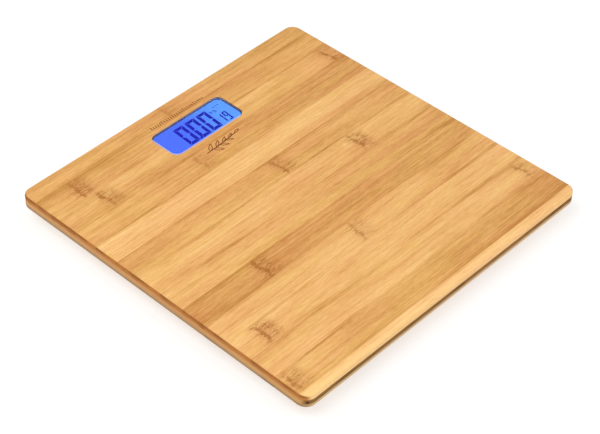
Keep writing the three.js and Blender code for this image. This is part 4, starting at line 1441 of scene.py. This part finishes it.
def tube(line, radius, offset, sides=10):
    """A round wire along a line, set off to one side and level with it."""
    bm = bmesh.new()
    rings = []
    for i, point in enumerate(line):
        before, after = line[max(i - 1, 0)], line[min(i + 1, len(line) - 1)]
        way = (after - before).normalized()
        side = Vector((0, 0, 1)).cross(way).normalized()
        up = way.cross(side)
        ring = []
        for k in range(sides):
            a = 2 * math.pi * k / sides
            across, over = offset + radius * math.cos(a), radius * math.sin(a)
            ring.append(bm.verts.new(point + side * across + up * over))
        rings.append(ring)
    for low, high in zip(rings, rings[1:]):
        for k in range(sides):
            n = (k + 1) % sides
            bm.faces.new((low[k], low[n], high[n], high[k]))
    bm.faces.new(reversed(rings[0]))
    bm.faces.new(rings[-1])
    bmesh.ops.recalc_face_normals(bm, faces=bm.faces)
    return bm


def lead_line(corner):
    """The middle of a load cell's lead, from the cell to the circuit board."""
    place = corner_place(corner)
    entry = Vector(LEAD_ENTRIES[corner]) * MM
    solder = Vector(SOLDER_PLACES[corner]) * MM
    middle = (entry + solder) / 2
    run = (entry - place.translation.xy).length
    # off the cell, up into the groove, along it, and out of its end
    stations = (
        (7 * MM, OVER_CELL),
        (10.5 * MM, OVER_CELL),
        (16 * MM, IN_GROOVE),
        (21 * MM, IN_GROOVE),
        (run / 2, IN_GROOVE),
        (run - 3 * MM, IN_GROOVE),
    )
    points = [place @ Vector((distance, 0, height)) for distance, height in stations]
    points.append(Vector((*middle, (IN_GROOVE + UNDER_BOARD) / 2)))
    points.append(Vector((*solder, UNDER_BOARD)))
    return eased(points, 8)


class SCALE_OT_lay_wires(bpy.types.Operator):
    """Lay the load cells' wires in their grooves and tape them down"""

    bl_idname = "scale.lay_wires"
    bl_label = "Lay wires"

    def execute(self, context):
        sheaths = (
            ("red", bpy.data.materials["red_sheath"], "red_wire"),
            ("black", bpy.data.materials["black_sheath"], "black_wire"),
            ("white", wire_sheath("white_sheath", linear(226, 226, 220)), "white_plastic"),
        )
        for corner in CORNERS:
            line = lead_line(corner)
            for i, (colour, sheath, slot) in enumerate(sheaths):
                bm = tube(line, WIRE_RADIUS, (i - 1) * WIRE_PITCH)
                wire = piece(f"{corner}_{colour}_wire", bm, sheath, smooth=60)
                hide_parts(f"{corner}_cell_lead")
        tapes = [f"{corner}_groove_tape" for corner in CORNERS[:2]]
        dress(tapes, crepe_tape(), "paper_tape", edge=0.05 * MM)
        return {"FINISHED"}


# ------------------------------------------------------------------ stage


def floor_finish(colour):
    """Pale matt floor that glows, so that shadows stay faint, and is clear from below."""
    f = Finish("studio_floor")
    cloud = f.noise(f.place, 2.5, 2)
    f.set(
        Base_Color=f.blend(cloud, dimmed(colour, 0.50), dimmed(colour, 0.52)),
        Roughness=0.9,
        Specular_IOR_Level=0.1,
        Emission_Color=WHITE,
        Emission_Strength=0.56,
    )
    clear = f.node("ShaderNodeBsdfTransparent")
    below = f.node("ShaderNodeNewGeometry").outputs["Backfacing"]
    choice = f.node("ShaderNodeMixShader")
    for socket, source in zip(choice.inputs, (below, f.shader.outputs[0], clear.outputs[0])):
        f.link(source, socket)
    f.link(choice.outputs[0], f.output.inputs["Surface"])
    return f.material


def lamp(name, place, power):
    """A square soft lamp that faces the scale."""
    data = bpy.data.lights.new(name, "AREA")
    data.shape = "SQUARE"
    data.size = LAMP_SIDE
    data.energy = power
    made = placed(name, data)
    made.location = place
    made.rotation_euler = (-Vector(place)).to_track_quat("-Z", "Y").to_euler()


def put_camera(stage):
    """The camera, aimed from its azimuth and elevation and rolled about its axis."""
    a, e, roll = stage.azimuth, stage.elevation, stage.roll
    back = Vector((math.sin(a) * math.cos(e), -math.cos(a) * math.cos(e), math.sin(e)))
    right = Vector((0, 0, 1)).cross(back).normalized()
    up = back.cross(right)
    rolled_right = right * math.cos(roll) + up * math.sin(roll)
    rolled_up = up * math.cos(roll) - right * math.sin(roll)
    data = bpy.data.cameras.new("camera")
    data.lens = stage.lens
    data.sensor_width = 36
    data.shift_x = stage.shift
    made = placed("camera", data)
    place = Matrix((rolled_right, rolled_up, back)).transposed().to_4x4()
    place.translation = Vector(stage.aim) + back * stage.distance
    made.matrix_world = place
    bpy.context.scene.camera = made


class SCALE_OT_set_stage(bpy.types.Operator):
    """Put the scale on a pale floor under soft lamps, and aim the camera"""

    bl_idname = "scale.set_stage"
    bl_label = "Set stage"

    def execute(self, context):
        stage = context.scene.scale_stage
        bm = bmesh.new()
        bmesh.ops.create_grid(bm, x_segments=1, y_segments=1, size=FLOOR_HALF)
        meshed("studio_floor", bm, floor_finish(stage.floor))
        for name, place, power in LAMPS:
            lamp(name, place, power)
        world = bpy.data.worlds.new("studio")
        world.use_nodes = True
        sky = world.node_tree.nodes["Background"]
        sky.inputs["Color"].default_value = (1, 1, 1, 1)
        sky.inputs["Strength"].default_value = SKY_STRENGTH
        context.scene.world = world
        context.scene.view_settings.view_transform = "Standard"
        put_camera(stage)
        return {"FINISHED"}


# ------------------------------------------------------------------ panel


BUILD_ORDER = (
    SCALE_OT_laminate_board,
    SCALE_OT_light_display,
    SCALE_OT_burn_marks,
    SCALE_OT_fit_electronics,
    SCALE_OT_close_housing,
    SCALE_OT_fit_feet,
    SCALE_OT_lay_wires,
    SCALE_OT_set_stage,
)


class SCALE_PT_panel(bpy.types.Panel):
    """Settings and build steps of the bathroom scale"""

    bl_idname = "SCALE_PT_panel"
    bl_label = "Bathroom Scale"
    bl_space_type = "VIEW_3D"
    bl_region_type = "UI"
    bl_category = "Bathroom Scale"

    def draw(self, context):
        for key, group in SETTINGS.items():
            box = self.layout.box()
            box.label(text=group.__doc__)
            settings = getattr(context.scene, key)
            for name in group.__annotations__:
                box.prop(settings, name)
        for step in BUILD_ORDER:
            self.layout.operator(step.bl_idname)


CLASSES = (*SETTINGS.values(), *BUILD_ORDER, SCALE_PT_panel)


def register():
    for cls in CLASSES:
        bpy.utils.register_class(cls)
    for key, group in SETTINGS.items():
        setattr(bpy.types.Scene, key, PointerProperty(type=group))


def unregister():
    for key in SETTINGS:
        delattr(bpy.types.Scene, key)
    for cls in reversed(CLASSES):
        bpy.utils.unregister_class(cls)


def main():
    """Builds everything in order."""
    register()
    for step in BUILD_ORDER:
        group, name = step.bl_idname.split(".")
        getattr(getattr(bpy.ops, group), name)()


if __name__ == "__main__":
    main()
